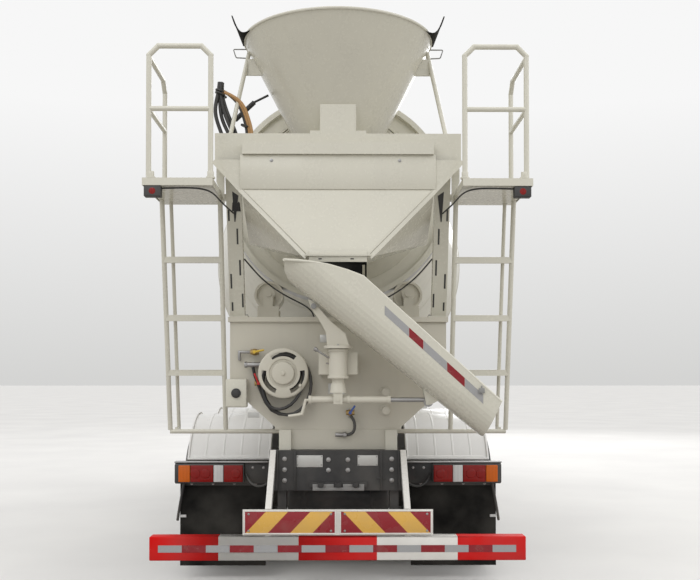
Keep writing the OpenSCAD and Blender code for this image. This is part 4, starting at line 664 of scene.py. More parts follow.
def hose_reel():
    """The reel with its hub, crank pin and stub, and the pegs beside it."""
    parts = [reel_flange("outer", -3.852, (90, 210, 330)), reel_flange("inner", -3.735, ())]
    for name, off, start, end, radius, edge, sides, tip in (
            ("hub", (0, 0), -3.868, PANEL_Y, 0.062, 0.003, 40, None),
            ("cap", (0, 0), -3.862, -3.878, 0.082, 0.005, 48, 0.076),
            ("nut", (0, 0), -3.876, -3.890, 0.016, 0.002, 6, None),
            ("crank", (0.120, -0.085), -3.853, -3.905, 0.011, 0.003, 20, None)):
        x, z = REEL.x + off[0], REEL.z + off[1]
        parts.append(turned(name, (x, start, z), (x, end, z), radius, edge, sides, tip))
    x = 0.333
    for z in (1.280, 1.410):
        for start, end, radius, edge in ((PANEL_Y, -3.850, 0.024, 0.003), (-3.842, -3.852, 0.028, 0.003),
                                         (PANEL_Y + 0.001, PANEL_Y - 0.006, 0.040, 0.002)):
            parts.append(turned("peg", (x, start, z), (x, end, z), radius, edge, 28))
    reel = fitted("hose_reel_detailed", parts, "chassis", cream_paint)
    fitted("control_box", [slab("box", (-0.790, -3.790, 1.300), (-0.640, -3.710, 1.500), 0.010, 3),
                           slab("lid", (-0.786, -3.796, 1.306), (-0.644, -3.788, 1.494), 0.003),
                           slab("back", (-0.760, -3.711, 1.340), (-0.670, PANEL_Y, 1.460), 0.002)],
           "chassis", body_paint)
    x, z = -0.715, 1.400
    fitted("control_knob", [turned("skirt", (x, -3.796, z), (x, -3.806, z), 0.034, 0.003, 36),
                            turned("grip", (x, -3.804, z), (x, -3.824, z), 0.023, 0.003, 10)],
           "chassis", moulded_black)
    stubs = [turned("pipe", (-0.600, PANEL_Y, 1.600), (-0.600, -3.760, 1.600), 0.022, 0.002, 28)]
    for left, right, y, z, radius, sides in (
            (-0.650, -0.550, -3.760, 1.600, 0.018, 24), (-0.560, -0.540, -3.760, 1.600, 0.023, 6),
            (-0.660, -0.640, -3.760, 1.600, 0.023, 6), (-0.020, 0.060, -3.740, 1.106, 0.016, 20),
            (0.036, 0.058, -3.740, 1.106, 0.021, 6)):
        stubs.append(turned("stub", (left, y, z), (right, y, z), radius, 0.002, sides))
    fitted("pipe_stubs", stubs, "chassis", bare_steel)
    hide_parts("hose_reel")


def lever(name, pivot, along, length, paint):
    """A ball valve: hexagon body, stem, and a dipped flat lever."""
    pivot, along = Vector(pivot), Vector(along).normalized()
    out = Vector((0, -1, 0))
    half_body, half_ball = Vector((0.030, 0, 0)), Vector((0.016, 0, 0))
    body = [turned("body", pivot - half_body, pivot + half_body, 0.019, 0.002, 6),
            turned("ball", pivot - half_ball, pivot + half_ball, 0.023, 0.006, 24),
            turned("stem", pivot, pivot + out * 0.036, 0.007, 0.001, 16)]
    fitted(name + "_body", body, "chassis", brass)
    flat = turned("grip", pivot + out * 0.034 + along * 0.01, pivot + out * 0.040 + along * length, 0.007, 0.002, 12)
    boss = turned("boss", pivot + out * 0.030, pivot + out * 0.039, 0.012, 0.001, 20)
    fitted(name + "_lever", [flat, boss], "chassis", paint)


def valves():
    """Ball valves, short pipes and the blank plates beside the reel."""
    lever("valve_red", (-0.560, -3.745, 1.470), (-0.4, 0, 1), 0.075, red_dip)
    lever("valve_yellow", (-0.590, -3.745, 1.690), (1, 0, 0.2), 0.070, yellow_dip)
    lever("valve_blue", (0.085, -3.735, 1.262), (0.6, 0, 0.9), 0.060, blue_dip)
    feeds = [turned("feed", start, end, radius, 0.001, 18) for start, end, radius in (
        ((-0.560, PANEL_Y, 1.470), (-0.560, -3.745, 1.470), 0.012),
        ((-0.590, PANEL_Y, 1.690), (-0.590, -3.745, 1.690), 0.012),
        ((0.085, PANEL_Y, 1.262), (0.085, -3.735, 1.262), 0.012),
        ((-0.620, -3.735, 1.690), (-0.700, -3.735, 1.690), 0.010),
        ((-0.700, -3.735, 1.700), (-0.700, -3.735, 1.640), 0.010),
        ((-0.700, -3.735, 1.640), (-0.700, PANEL_Y, 1.640), 0.010))]
    fitted("valve_pipes", feeds, "chassis", bare_steel)
    plates = [slab("clip", (0.060, -3.722, 1.232), (0.112, PANEL_Y, 1.290), 0.004)]
    for left, low, right, high in ((-0.070, 1.395, 0.045, 1.470), (-0.640, 1.225, -0.560, 1.262),
                                   (-0.130, 1.760, -0.040, 1.815), (0.560, 1.700, 0.660, 1.765)):
        plates.append(slab("plate", (left, PANEL_Y - 0.0035, low), (right, PANEL_Y, high), 0.001))
    fitted("panel_plates", plates, "chassis", blank_plate)


def reel_hose():
    """The wash hose: two layers wound on the hub, then loose turns that sag below the flanges to the stub."""
    radius, per_turn, wound, loose = 0.011, 24, 72, 78
    front, depth = -3.832, 0.078
    route = []
    for layer, r in enumerate((0.092, 0.116)):
        for k in range(wound):
            a = -2 * pi * k / per_turn
            step_out = 0.024 * max(0, k - 60) / 12
            share = k / wound if layer == 0 else 1 - k / wound
            route.append((REEL.x + (r + step_out) * cos(a), front + depth * share, REEL.z + (r + step_out) * sin(a)))
    for k in range(loose + 1):
        a = -2 * pi * k / per_turn
        tight = Vector((REEL.x + 0.140 * cos(a), 0, REEL.z + 0.140 * sin(a)))
        sagged = Vector((-0.360 + 0.170 * cos(a), 0, 1.464 + 0.216 * sin(a)))
        point = tight.lerp(sagged, min(k / 9, 1.0))
        route.append((point.x, front + depth * (k / loose), point.z))
    route += [(-0.415, -3.754, 1.252), (-0.470, -3.754, 1.280), (-0.512, -3.755, 1.335), (-0.540, -3.756, 1.400),
              (-0.565, -3.758, 1.465), (-0.588, -3.759, 1.525), (-0.600, -3.760, 1.580)]
    hose = drawn_tube("wash_hose", route, radius, False)
    settle(hose, "chassis", hose_rubber_and_hole_shade, 60)


def panel_hoses():
    """The curved feed hose beside the reel."""
    feed = drawn_tube("feed_hose", [(0.060, -3.740, 1.106), (0.085, -3.742, 1.107), (0.110, -3.752, 1.125),
                                    (0.118, -3.756, 1.160), (0.116, -3.750, 1.200), (0.100, -3.738, 1.225),
                                    (0.086, -3.735, 1.240)], 0.011, sides=4)
    rubber = fitted("panel_hoses", [feed], "chassis", hose_rubber_and_hole_shade, 60)
    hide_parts("hoses")


# Chassis tail, flaps and fenders
FRAME_REAR = -3.800
FUNNEL_Y = -3.750
WHEEL_Z = 0.545


def crossmember_fittings():
    """Bolts, blank plates and gussets on the rear crossmember, and the notched tow bracket."""
    y = FRAME_REAR
    spots = [((x, y, z), (0, -1, 0)) for x in (-0.068, 0.068) for z in (0.862, 0.935)]
    spots += [((x, y, z), (0, -1, 0)) for x in (-0.375, 0.375) for z in (0.790, 0.865, 0.940)]
    screwed("crossmember_bolts", spots, 0.013, 0.010)
    plates = [slab("plate", (left, y - 0.004, low), (right, y, 0.966), 0.002)
              for left, low, right in ((-0.292, 0.883, -0.108), (0.136, 0.893, 0.278))]
    fitted("crossmember_plates", plates, "chassis", blank_plate)
    spots = [((x, y - 0.004, z), (0, -1, 0)) for x in (-0.284, -0.116, 0.144, 0.270) for z in (0.900, 0.957)]
    screwed("crossmember_plate_screws", spots, 0.004, 0.002)
    bracket = [slab("rail", (-0.178, y - 0.030, 0.722), (0.182, y - 0.022, 0.744), 0.002)]
    for low, high in ((-0.178, -0.142), (-0.106, -0.030), (0.034, 0.110), (0.146, 0.182)):
        bracket.append(slab("tongue", (low, y - 0.030, 0.742), (high, y - 0.022, 0.768), 0.003))
    fitted("tow_bracket_face", bracket, "chassis", grey_paint)
    edges = [slab("small_plate", (0.270, y - 0.010, 0.800), (0.330, y, 0.812), 0.002)]
    for side in (-1, 1):
        for x in (0.300, 0.425):
            edges.append(slab("web", (side * x - 0.005, y - 0.024, 0.724), (side * x + 0.005, y, 0.996), 0.002))
    fitted("crossmember_gussets", edges, "chassis", chassis_paint)


def axle_gear():
    """Brake chambers and the long air tank that close the view under the crossmember."""
    tank_y, tank_z = -3.420, 0.640
    parts = [turned("air_tank", (-0.375, tank_y, tank_z), (0.375, tank_y, tank_z), 0.118, 0.030, 40)]
    for x in (-0.25, 0.25):
        parts.append(turned("band", (x - 0.016, tank_y, tank_z), (x + 0.016, tank_y, tank_z), 0.121, 0.002, 40))
        parts.append(slab("hanger", (x - 0.014, tank_y - 0.012, 0.740), (x + 0.014, tank_y + 0.012, 0.800), 0.002))
    for x in (-0.400, 0.400):
        for y in (-2.700, -1.350):
            parts.append(turned("chamber", (x, y, 0.690), (x, y - 0.150, 0.700), 0.082, 0.012, 32))
            parts.append(turned("clamp", (x, y - 0.066, 0.694), (x, y - 0.086, 0.696), 0.088, 0.004, 32))
    fitted("axle_air_gear", parts, "chassis", chassis_paint)


def lamp_cables():
    """Black loops of loom between the tail lamps' trays and the frame, with their two screws."""
    looms, spots = [], []
    for side in (-1, 1):
        points = [(0.690, -3.350, 0.790), (0.672, -3.372, 0.745), (0.630, -3.400, 0.708), (0.575, -3.410, 0.700),
                  (0.520, -3.400, 0.722), (0.480, -3.380, 0.770), (0.452, -3.360, 0.800)]
        looms.append(drawn_tube("loom", [(side * x, y, z) for x, y, z in points], 0.009))
        spots += [((side * x, -3.340, 0.835), (0, -1, 0)) for x in (0.560, 0.640)]
    fitted("lamp_looms", looms, "chassis", hose_rubber_and_hole_shade, 60)
    screwed("lamp_tray_screws", spots, 0.008, 0.005)


def splash_flap():
    """The right splash flap: a bent triangle of rubber on the outside of the funnel's rim, its tip leaning out."""
    tip, steps, sweep, r, foot_z, sag = Vector((0.727, -4.000, 3.985)), 8, -26, 0.671, 3.864, 0.045
    rings = []
    for row in range(steps + 1):
        up = row / steps
        line = []
        for k in range(steps + 1):
            a = radians(sweep * k / steps)
            base = Vector((r * cos(a), FUNNEL_Y + r * sin(a), foot_z))
            hollow = sag * sin(pi * up) * (k / steps) ** 2 if 0 < row < steps else 0.0
            line.append(base.lerp(tip, up) + Vector((0.3 * hollow, 0.4 * hollow, -hollow)))
        thick = Vector((0.0045, -0.001, 0.0))
        rings.append([p + thick for p in line] + [p - thick for p in reversed(line)])
    return lofted("splash_flap", rings)


def rubber_pieces():
    """Mud flaps with clamp bars, stays and reflectors, splash flaps, and the skirt below the collector."""
    y = -3.302
    flaps, bars, spots, dots = [], [], [], []
    for side in (-1, 1):
        low, high = sorted((side * 0.545, side * 1.187))
        flaps.append(slab("flap", (low, y - 0.009, 0.100), (high, y, 0.738), 0.003))
        for z in (0.20, 0.32):
            flaps.append(slab("ridge", (low + 0.05, y - 0.012, z), (high - 0.05, y - 0.006, z + 0.012), 0.002))
        bars.append(slab("bar", (low + 0.01, y - 0.015, 0.700), (high - 0.01, y - 0.007, 0.732), 0.002))
        spots += [((side * x, y - 0.015, 0.716), (0, -1, 0)) for x in (0.62, 0.78, 0.94, 1.10)]
        bars.append(drawn_tube("stay", [(side * 1.150, y - 0.040, 0.735), (side * 1.172, y - 0.034, 0.640),
                                        (side * 1.203, y - 0.020, 0.470), (side * 1.206, y - 0.010, 0.440)], 0.010))
        x = side * 1.165
        dots.append(slab("dot", (x - 0.024, y - 0.016, 0.462), (x + 0.024, y - 0.009, 0.482), 0.002))
    half_x, half_y, y0, foot, top = 0.1884, 0.1334, -4.130, 2.155, 2.320
    for x in (half_x, -half_x):
        low, high = sorted((x, x * 0.966))
        flaps.append(slab("skirt_side", (low, y0 - 0.099, foot), (high, y0 + 0.099, top), 0.001))
    for side in (-1, 1):
        low, high = sorted((y0 + side * half_y, y0 + side * (half_y - 0.006)))
        flaps.append(slab("skirt_face", (-0.159, low, foot), (0.159, high, top), 0.001))
        flaps.append(slab("skirt_top", (-0.187, low, 2.278), (0.187, high, top), 0.0))
    flaps.append(splash_flap())
    flaps.append(copy_at(flaps[-1], "splash_flap_left", MIRROR_X))
    rubber = welded("rubber_pieces", flaps)
    settle(rubber, "chassis", soft_rubber)
    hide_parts("rubber_flaps")
    fitted("mud_flap_bars", bars, "chassis", chassis_paint)
    screwed("mud_flap_bolts", spots, 0.009, 0.006)
    fitted("mud_flap_reflectors", dots, "chassis", clear_lens)


def fender_ribs():
    """Pressed lengthwise ribs and rolled edges that follow the wings over both axles."""
    r, line = 0.662, []
    for y0, first, last in ((-2.450, 150, 32), (-1.100, 148, 30)):
        for k in range(31):
            a = radians(first + (last - first) * k / 30)
            line.append((y0 + r * cos(a), WHEEL_Z + r * sin(a), a))
        if y0 < -2:
            line.append((-1.775, WHEEL_Z + r * sin(radians(30)) + 0.005, pi / 2))
    beads = []
    for side in (-1, 1):
        for x, tall in [(0.625 + 0.139 * k, 0.0022) for k in range(4)] + [(0.537, 0.012), (1.173, 0.012)]:
            rings = []
            for y, z, a in line:
                out, base = Vector((0, cos(a), sin(a))), Vector((side * x, y, z))
                rings.append([base + Vector((along, 0, 0)) + out * rise for along, rise in
                              ((-0.010, -0.001), (-0.005, tall), (0.005, tall), (0.010, -0.001))])
            beads.append(lofted("bead", rings))
        low, high = sorted((side * 0.530, side * 1.180))
        for y in (-3.030, -0.520):
            beads.append(slab("end_lip", (low, y - 0.010, 0.868), (high, y + 0.010, 0.882), 0.004))
    fitted("fender_ribs", beads, "chassis", fender_paint)


crossmember_fittings()
lamp_cables()
axle_gear()
rubber_pieces()
fender_ribs()
hose_reel()
valves()
reel_hose()
panel_hoses()


# Chute and its column
CHUTE_Y = -4.130
CHUTE_HEAD, CHUTE_OUTLET = -0.344, 1.055
LIP = [(CHUTE_HEAD, 2.262), (-0.250, 2.257), (-0.150, 2.246), (-0.050, 2.226), (0.060, 2.194), (0.162, 2.156),
       (CHUTE_OUTLET, 1.351)]
SLOPE = radians(38.8)
JACK_Z = 1.362


def chute_half(x):
    """Half the trough's width at a place along it."""
    return 0.25 - 0.05 * (x - CHUTE_HEAD) / 1.399


def chute_wall(x, down):
    """A point on the near outer wall, down the side from the lip line; the wall narrows along the slope."""
    run = min(max(x, CHUTE_HEAD), CHUTE_OUTLET)
    for (x0, z0), (x1, z1) in zip(LIP, LIP[1:]):
        if x0 <= run <= x1:
            z = z0 + (z1 - z0) * (run - x0) / (x1 - x0) - down
    head_x, head_z, half_width, narrowing, length = -0.550, 2.331, 0.260, 0.0634, 2.181
    along = (x - head_x) * cos(SLOPE) - (z - head_z) * sin(SLOPE)
    return Vector((x, CHUTE_Y - half_width + narrowing * along / length, z))


def chute_tape():
    """Five fields of reflective tape along the near side, below the lip."""
    fields = ((0.300, 0.455, grey_tape), (0.457, 0.548, red_tape), (0.550, 0.700, grey_tape),
              (0.702, 0.815, red_tape), (0.817, 0.935, grey_tape))
    parts = []
    for x0, x1, finish in fields:
        rings = []
        for x in (x0, x1):
            rings.append([chute_wall(x, down) + Vector((0, -out, 0)) for down, out in
                          ((0.060, 0.0012), (0.120, 0.0012), (0.120, -0.001), (0.060, -0.001))])
        parts.append(coat(lofted("field", rings), finish))
    fitted("chute_tape", parts, "chute")


def chute_fittings():
    """Rolled lip, latch bracket near the outlet and the pitch pin's heads."""
    lips = []
    for side in (-1, 1):
        points = [(x, CHUTE_Y + side * (chute_half(x) - 0.002), z + 0.001) for x, z in LIP]
        lips.append(drawn_tube("lip", points, 0.0098, smooth=False, sides=3))
    latch = chute_wall(0.925, 0.045)
    low_pin, high_pin = latch + Vector((0, -0.010, -0.02)), latch + Vector((0, -0.010, 0.034))
    parts = [slab("latch", latch + Vector((-0.020, -0.016, -0.014)), latch + Vector((0.018, 0.002, 0.018)), 0.004),
             turned("latch_pin", low_pin, high_pin, 0.005, 0.001, 12)]
    for y in (CHUTE_Y - 0.066, CHUTE_Y + 0.066):
        out = -0.006 if y < CHUTE_Y else 0.006
        parts.append(turned("head", (-0.160, y - out, 1.980), (-0.160, y + out, 1.980), 0.019, 0.002, 24))
    fitted("chute_lip", lips, "chute", body_paint, 50)
    fitted("chute_latch", parts, "chute", grey_paint)


def column_fittings():
    """Collars, bolts, clamp and grease nipple of the swivel column, and the screw jack's rings and thread."""
    collars = [turned("collar", (0, CHUTE_Y, z - 0.010), (0, CHUTE_Y, z + 0.010), 0.070, 0.004, 48)
               for z in (1.512, 1.690)]
    spots = []
    for k in range(6):
        a = radians(30 + 60 * k)
        spots.append(((0.078 * cos(a), CHUTE_Y + 0.078 * sin(a), 1.720), (0, 0, 1)))
    fitted("column_collars", collars, "chassis", cream_paint)
    screwed("column_bolts", spots, 0.008, 0.006, "chute_column")
    rests = [turned("nipple", (-0.060, CHUTE_Y, 1.600), (-0.078, CHUTE_Y - 0.004, 1.606), 0.005, 0.001, 12),
             turned("handle", (-0.060, CHUTE_Y - 0.02, 1.640), (-0.140, CHUTE_Y - 0.055, 1.690), 0.007, 0.002, 14),
             turned("knob", (-0.136, CHUTE_Y - 0.053, 1.688), (-0.158, CHUTE_Y - 0.063, 1.702), 0.014, 0.006, 20)]
    fitted("column_clamp", rests, "chassis", bare_steel)
    rings = [turned("ring", (x - 0.010, CHUTE_Y, JACK_Z), (x + 0.010, CHUTE_Y, JACK_Z), 0.028, 0.003, 40)
             for x in (-0.186, 0.070, 0.340)]
    fitted("jack_tube_rings", rings, "jack_tube", cream_paint)
    per_turn, last, start, length, r = 12, 192, 0.425, 0.127, 0.0152
    thread = []
    for k in range(last + 1):
        a = 2 * pi * k / per_turn
        thread.append((start + length * k / last, CHUTE_Y + r * cos(a), JACK_Z + r * sin(a)))
    settle(drawn_tube("jack_rod_thread", thread, 0.0022, sides=1, step=2), "jack_rod", bare_steel, 60)


# Hopper, collector and funnel
def hopper_fittings():
    """Weld beads, the beam's end gussets, the collector's rear panel, flanges and outlet lip, the rim's loops."""
    spots = [((x, -4.1285, 2.960), (0, -1, 0)) for x in (-0.445, 0.412)]
    screwed("hopper_screws", spots, 0.009, 0.004)
    seams, plates = [], []
    for side in (-1, 1):
        seams.append(drawn_tube("seam", [(side * 0.640, -4.1205, 2.772), (side * 0.200, -4.2705, 2.312)], 0.004, False))
        seams.append(drawn_tube("seam", [(side * 0.119, -4.078, 3.157), (side * 0.119, -4.078, 3.350)], 0.003, False))
        outline = ((0.829, 2.968), (0.829, 2.840), (0.774, 2.716), (0.774, 2.968))
        plates.append(lofted("gusset", [[(side * x, y, z) for x, z in outline] for y in (-4.004, -3.998)]))
        corner = [Vector((side * x, y, z)) for x, y, z in ((0.825, -4.1205, 2.965), (0.645, -4.1205, 2.770),
                                                          (0.198, -4.2705, 2.300))]
        out, rear, front = Vector((side * 0.020, 0, -0.018)), Vector((0, -0.005, 0)), Vector((0, 0.003, 0))
        for ends in (corner[:2], corner[1:]):
            plates.append(lofted("corner_flange", [[p + rear, p + out + rear, p + out + front, p + front]
                                                   for p in ends]))
    plates.append(slab("rear_panel", (-0.655, -4.1285, 2.768), (0.655, -4.1195, 2.999), 0.0015))
    plates.append(slab("outlet_lip", (-0.190, -4.2765, 2.262), (0.190, -4.2700, 2.338), 0.0015))
    # The two slots in the outlet lip are thin dark plates: painted shade where the slots show the dark inside.
    slots = [slab("slot", (x - 0.011, -4.2775, 2.278), (x + 0.011, -4.2760, 2.286), 0.0) for x in (-0.116, 0.092)]
    fitted("outlet_slot_shades", slots, "chassis", hose_rubber_and_hole_shade)
    fitted("hopper_weld_seams", seams, "chassis", body_paint, 60)
    fitted("hopper_gussets", plates, "chassis", body_paint)
    loop = [(x, FUNNEL_Y, z) for x, z in ((-0.655, 3.842), (-0.738, 3.842), (-0.744, 3.836), (-0.728, 3.788),
                                          (-0.720, 3.782), (-0.630, 3.778))]
    loops = [drawn_tube("loop", loop, 0.0045, False)]
    fitted_pair("funnel_side_loops", loops, "chassis", grey_paint, 60)


def funnel_rim():
    """The rolled rim of the charging funnel."""
    section = ((0.667, 3.868), (0.671, 3.872), (0.671, 3.881), (0.667, 3.884), (0.660, 3.884), (0.658, 3.880),
               (0.659, 3.872))
    rim = spun("funnel_rolled_rim", section, 128, lambda r, z, a: (r * cos(a), FUNNEL_Y + r * sin(a), z))
    settle(rim, "chassis", body_paint, 60)


def post_rear(x, z, out=0.0):
    """A point on the rear face of a leaning post."""
    foot_y, foot_z, lean = -3.680, 1.940, 0.3116
    return Vector((x, foot_y - lean * (z - foot_z) - out, z))


def post_hole_shade(name, corners):
    """A thin dark plate on a post's rear face: painted shade where a hole shows the dark inside of the post."""
    return lofted(name, [[post_rear(x, z, out) for x, z in corners] for out in (0.001, -0.001)])


def post_details():
    """Painted shade of the long holes and the hose cut-out in the posts' rear faces, as thin dark plates, and the base
    plates' bolts.
    """
    holes, spots = [], []
    marks = ((0.702, 2.545, 2.440), (0.690, 2.335, 2.230), (0.678, 2.105, 2.010), (0.757, 2.670, 2.595),
             (0.755, 2.240, 2.140), (0.752, 2.045, 1.985))
    cut_out = ((0.729, 2.790), (0.686, 2.762), (0.712, 2.590), (0.720, 2.590))
    for side in (-1, 1):
        for x, top, low in marks:
            left, right = side * (x - 0.006), side * (x + 0.006)
            holes.append(post_hole_shade("hole", ((left, low), (right, low), (right, top), (left, top))))
        holes.append(post_hole_shade("cut_out", [(side * x, z) for x, z in cut_out]))
        spots += [((side * (0.708 + dx), -3.675, 1.952), (0, 0, 1)) for dx in (-0.055, 0.055)]
    # These hole plates are painted shade: black where the holes show the dark inside of the posts.
    fitted("post_hole_shades", holes, "chassis", hose_rubber_and_hole_shade)
    screwed("post_bolts", spots, 0.009, 0.007)


chute_tape()
chute_fittings()
column_fittings()
hopper_fittings()
funnel_rim()
post_details()


# Platforms, ladders and the hose bundle
def platform_details():
    """Grip strips, closed undersides, rail sockets, ladder treads and the thin lamp cables."""
    clamps, treads, cables = [], [], []
    strips = [slab("strip", (x, -4.385, 2.7842), (x + 0.012, -3.795, 2.7885), 0.001, 1)
              for x in [0.830 + 0.039 * k for k in range(11)]]
    fitted_pair("platform_grip_strips", strips, "chassis", body_paint)
    under = slab("platform_underside", (0.806, -4.394, 2.7345), (1.234, -3.745, 2.7375), 0.001, 1)
    fitted_pair("platform_undersides", [under], "chassis", body_paint)
    for x, y in ((0.817, -4.370), (1.199, -4.370), (1.199, -3.830)):
        clamps.append(turned("foot", (x, y, 2.784), (x, y, 2.796), 0.030, 0.003, 28))
        clamps.append(turned("socket", (x, y, 2.790), (x, y, 2.830), 0.0215, 0.002, 28))
    fitted_pair("platform_sockets", clamps, "chassis", body_paint)
    for z, y in ((2.335, -3.8124), (1.933, -3.7249), (1.546, -3.6407)):
        treads.append(slab("tread", (0.822, y - 0.016, z + 0.014), (1.184, y + 0.106, z + 0.020), 0.002))
    fitted_pair("ladder_treads", treads, "chassis", body_paint)
    lamp_line = ((1.140, -4.345, 2.726), (1.000, -4.362, 2.727), (0.880, -4.365, 2.727), (0.815, -4.250, 2.720),
                 (0.789, -4.100, 2.690), (0.757, -4.030, 2.666), (0.722, -3.925, 2.642))
    grease_line = ((0.668, -3.720, 2.354), (0.600, -3.690, 2.270), (0.521, -3.660, 2.190), (0.379, -3.630, 2.095),
                   (0.250, -3.610, 2.040), (0.180, -3.600, 1.990), (0.175, -3.600, 1.938))
    for side in (-1, 1):
        for route in (lamp_line, grease_line):
            cables.append(drawn_tube("cable", [(side * x, y, z) for x, y, z in route], 0.0055))
    fitted("lamp_and_grease_lines", cables, "chassis", hose_rubber_and_hole_shade, 60)


def hose_bundle():
    """Black hydraulic hoses and olive sleeved ones, tied high on the left rail and running down behind the beam."""
    groups = (((-0.843, 3.446), (-0.857, 3.358), (-0.839, 3.279), (-0.804, 3.191), (-0.765, 3.060)),
              ((-0.822, 3.446), (-0.820, 3.350), (-0.795, 3.265), (-0.750, 3.191), (-0.738, 3.060)),
              ((-0.812, 3.446), (-0.795, 3.360), (-0.762, 3.275), (-0.722, 3.191), (-0.715, 3.060)),
              ((-0.803, 3.446), (-0.776, 3.363), (-0.742, 3.279), (-0.700, 3.191), (-0.698, 3.060)))
    black = []
    for k, group in enumerate(groups):
        y = -3.895 + 0.014 * (k % 2)
        start = [(-0.824 + 0.006 * k, y, 3.560), (-0.828 + 0.006 * k, y, 3.500)]
        end = [(group[-1][0], -3.900, 2.960), (-0.720 + 0.012 * k, -3.930, 2.800),
               (-0.722 + 0.012 * k, -3.900, 2.660)]
        black.append(drawn_tube("hose", start + [(x, y, z) for x, z in group] + end, 0.0135))
    olive = []
    route = ((-0.815, 3.500), (-0.798, 3.505), (-0.742, 3.465), (-0.690, 3.412), (-0.660, 3.330), (-0.640, 3.260),
             (-0.628, 3.191), (-0.640, 3.060))
    for k, shift in enumerate((0.0, 0.019, 0.036)):
        tube = drawn_tube("hose", [(x + shift * (0.3 if n < 2 else 1.0), -3.885 - 0.008 * k, z - 0.4 * shift)
                                   for n, (x, z) in enumerate(route)], 0.0115)
        olive.append(coat(tube, hose_rubber_and_hole_shade if k == 0 else tan_hose))
    ties = [turned("tie", (x, -3.892, z), (x + 0.004, -3.892, z + 0.011), r, 0.003, 24)
            for x, z, r in ((-0.822, 3.474, 0.037), (-0.820, 3.492, 0.037), (-0.650, 3.250, 0.030))]
    ties.append(turned("clip", (-0.812, -3.880, 3.478), (-0.790, -3.815, 3.480), 0.010, 0.002, 16))
    fitted("hose_bundle_black", black + ties, "chassis", hose_rubber_and_hole_shade, 60)
    fitted("hose_bundle_olive", olive, "chassis", None, 60)
    strut = [turned("barrel", (-0.738, -3.700, 3.350), (-0.600, -3.700, 3.480), 0.017, 0.003, 24),
             turned("rod", (-0.600, -3.700, 3.480), (-0.500, -3.700, 3.530), 0.008, 0.001, 16)]
    fitted("funnel_strut", strut, "chassis", hose_rubber_and_hole_shade)


# Wheels
TYRE_LINE = [(0.286, -0.103), (0.300, -0.114), (0.316, -0.113), (0.322, -0.118), (0.345, -0.126), (0.372, -0.137),
             (0.378, -0.141), (0.400, -0.144), (0.430, -0.149), (0.462, -0.1475), (0.470, -0.150), (0.488, -0.147),
             (0.505, -0.140), (0.519, -0.131), (0.527, -0.114), (0.5315, -0.080), (0.533, -0.040)]


def ring_skin(name, line, count, centre=(0, 0, 0)):
    """A closed section of (radius, place along the axle) turned about the X axis."""
    x0, y0, z0 = centre
    return spun(name, line, count, lambda r, x, a: (x0 + x, y0 + r * cos(a), z0 + r * sin(a)), outward=True)


def tread_pitch():
    """One pitch of the tread: two slanted centre lugs and two shoulder lugs that fold over the edge."""
    lugs = []
    foot, crown, slant = 0.524, 0.545, 0.10
    centre_lug = (0.0, 0.038, ((0.006, 0.006, foot, crown), (0.064, 0.064, foot, crown)))
    shoulder_lug = (0.016, 0.036, ((0.072, 0.072, foot, crown), (0.112, 0.112, foot, 0.5425),
                                   (0.132, 0.112, 0.505, 0.526), (0.1435, 0.112, 0.480, 0.497)))
    for side in (-1, 1):
        for shift, thick, sections in (centre_lug, shoulder_lug):
            half = thick / 2 / crown
            rings = []
            for x, along, r_in, r_out in sections:
                a = (shift + along * slant) / crown
                rings.append([(side * x, r * cos(a + turn), r * sin(a + turn)) for r, turn in
                              ((r_in, -half), (r_out, -half * 0.9), (r_out, half * 0.9), (r_in, half))])
            lugs.append(lofted("lug", rings))
    return welded("tread_pitch", lugs)


def tyre_master():
    """A whole tyre at the origin, its axle along X."""
    full = TYRE_LINE + [(r, -x) for r, x in reversed(TYRE_LINE)] + [(0.292, 0.095), (0.292, -0.095)]
    carcass = ring_skin("tyre", full, 120)
    pitch, pitches = tread_pitch(), 54
    copies = [copy_at(pitch, "pitch", Matrix.Rotation(2 * pi * k / pitches, 4, "X")) for k in range(pitches)]
    bpy.data.objects.remove(pitch)
    return welded("tyre_master", [carcass] + copies)


def hub_details(face_x, side):
    """Cover bolts and cap of a wheel, its outer face toward the side."""
    parts, bolt_ring = [], 0.062
    for k in range(8):
        a = radians(22.5 + 45 * k)
        p = Vector((face_x, bolt_ring * cos(a), bolt_ring * sin(a)))
        parts.append(turned("bolt", p, p + Vector((side * 0.009, 0, 0)), 0.008, 0.001, 6))
    parts.append(turned("cap", (face_x, 0, 0), (face_x + side * 0.018, 0, 0), 0.042, 0.006, 32, 0.036))
    return parts


def wheels():
    """Tyres with tread on all wheels, and the bolted hub covers and valves."""
    master = tyre_master()
    sets = (("front", 2.950, (1.020,), "tyre_front_%s", "wheel_front_%s", 1.182),
            ("mid", -1.100, (1.080, 0.740), "tyres_mid_%s", "wheels_mid_%s", 1.140),
            ("rear", -2.450, (1.080, 0.740), "tyres_rear_%s", "wheels_rear_%s", 1.140))
    for label, y, places, node, body, face in sets:
        for side, word in ((-1, "left"), (1, "right")):
            rings = []
            for k, x in enumerate(places):
                place = Matrix.Translation((side * x, y, WHEEL_Z)) @ Matrix.Rotation(0.3 * k, 4, "X")
                rings.append(copy_at(master, "ring", place))
            tyres = fitted(node % word + "_treaded", rings, body % word, tyre_rubber, 40)
            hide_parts(node % word)
            hub = welded("hub", hub_details(side * face, side))
            hub.data.transform(Matrix.Translation((0, y, WHEEL_Z)))
            valve_x = side * (places[0] + (0.055 if len(places) == 1 else 0.020))
            a = Vector((valve_x, y + 0.205, WHEEL_Z + 0.06))
            valve = drawn_tube("valve", [tuple(a), tuple(a + Vector((side * 0.03, -0.008, 0.0))),
                                         tuple(a + Vector((side * 0.062, -0.022, 0.0)))], 0.004)
            fitted("hub_cover_%s_%s" % (label, word), [hub, valve], body % word, bare_steel)
    bpy.data.objects.remove(master)


wheels()
platform_details()
hose_bundle()


# Drum and its supports
DRUM_FOOT = Vector((0, -1.330, 2.610))
TILT = radians(10.5)
DRUM_PROFILE = ((0.500, -2.156), (0.720, -1.749), (1.170, 0.0), (1.170, 1.300), (0.720, 2.550))


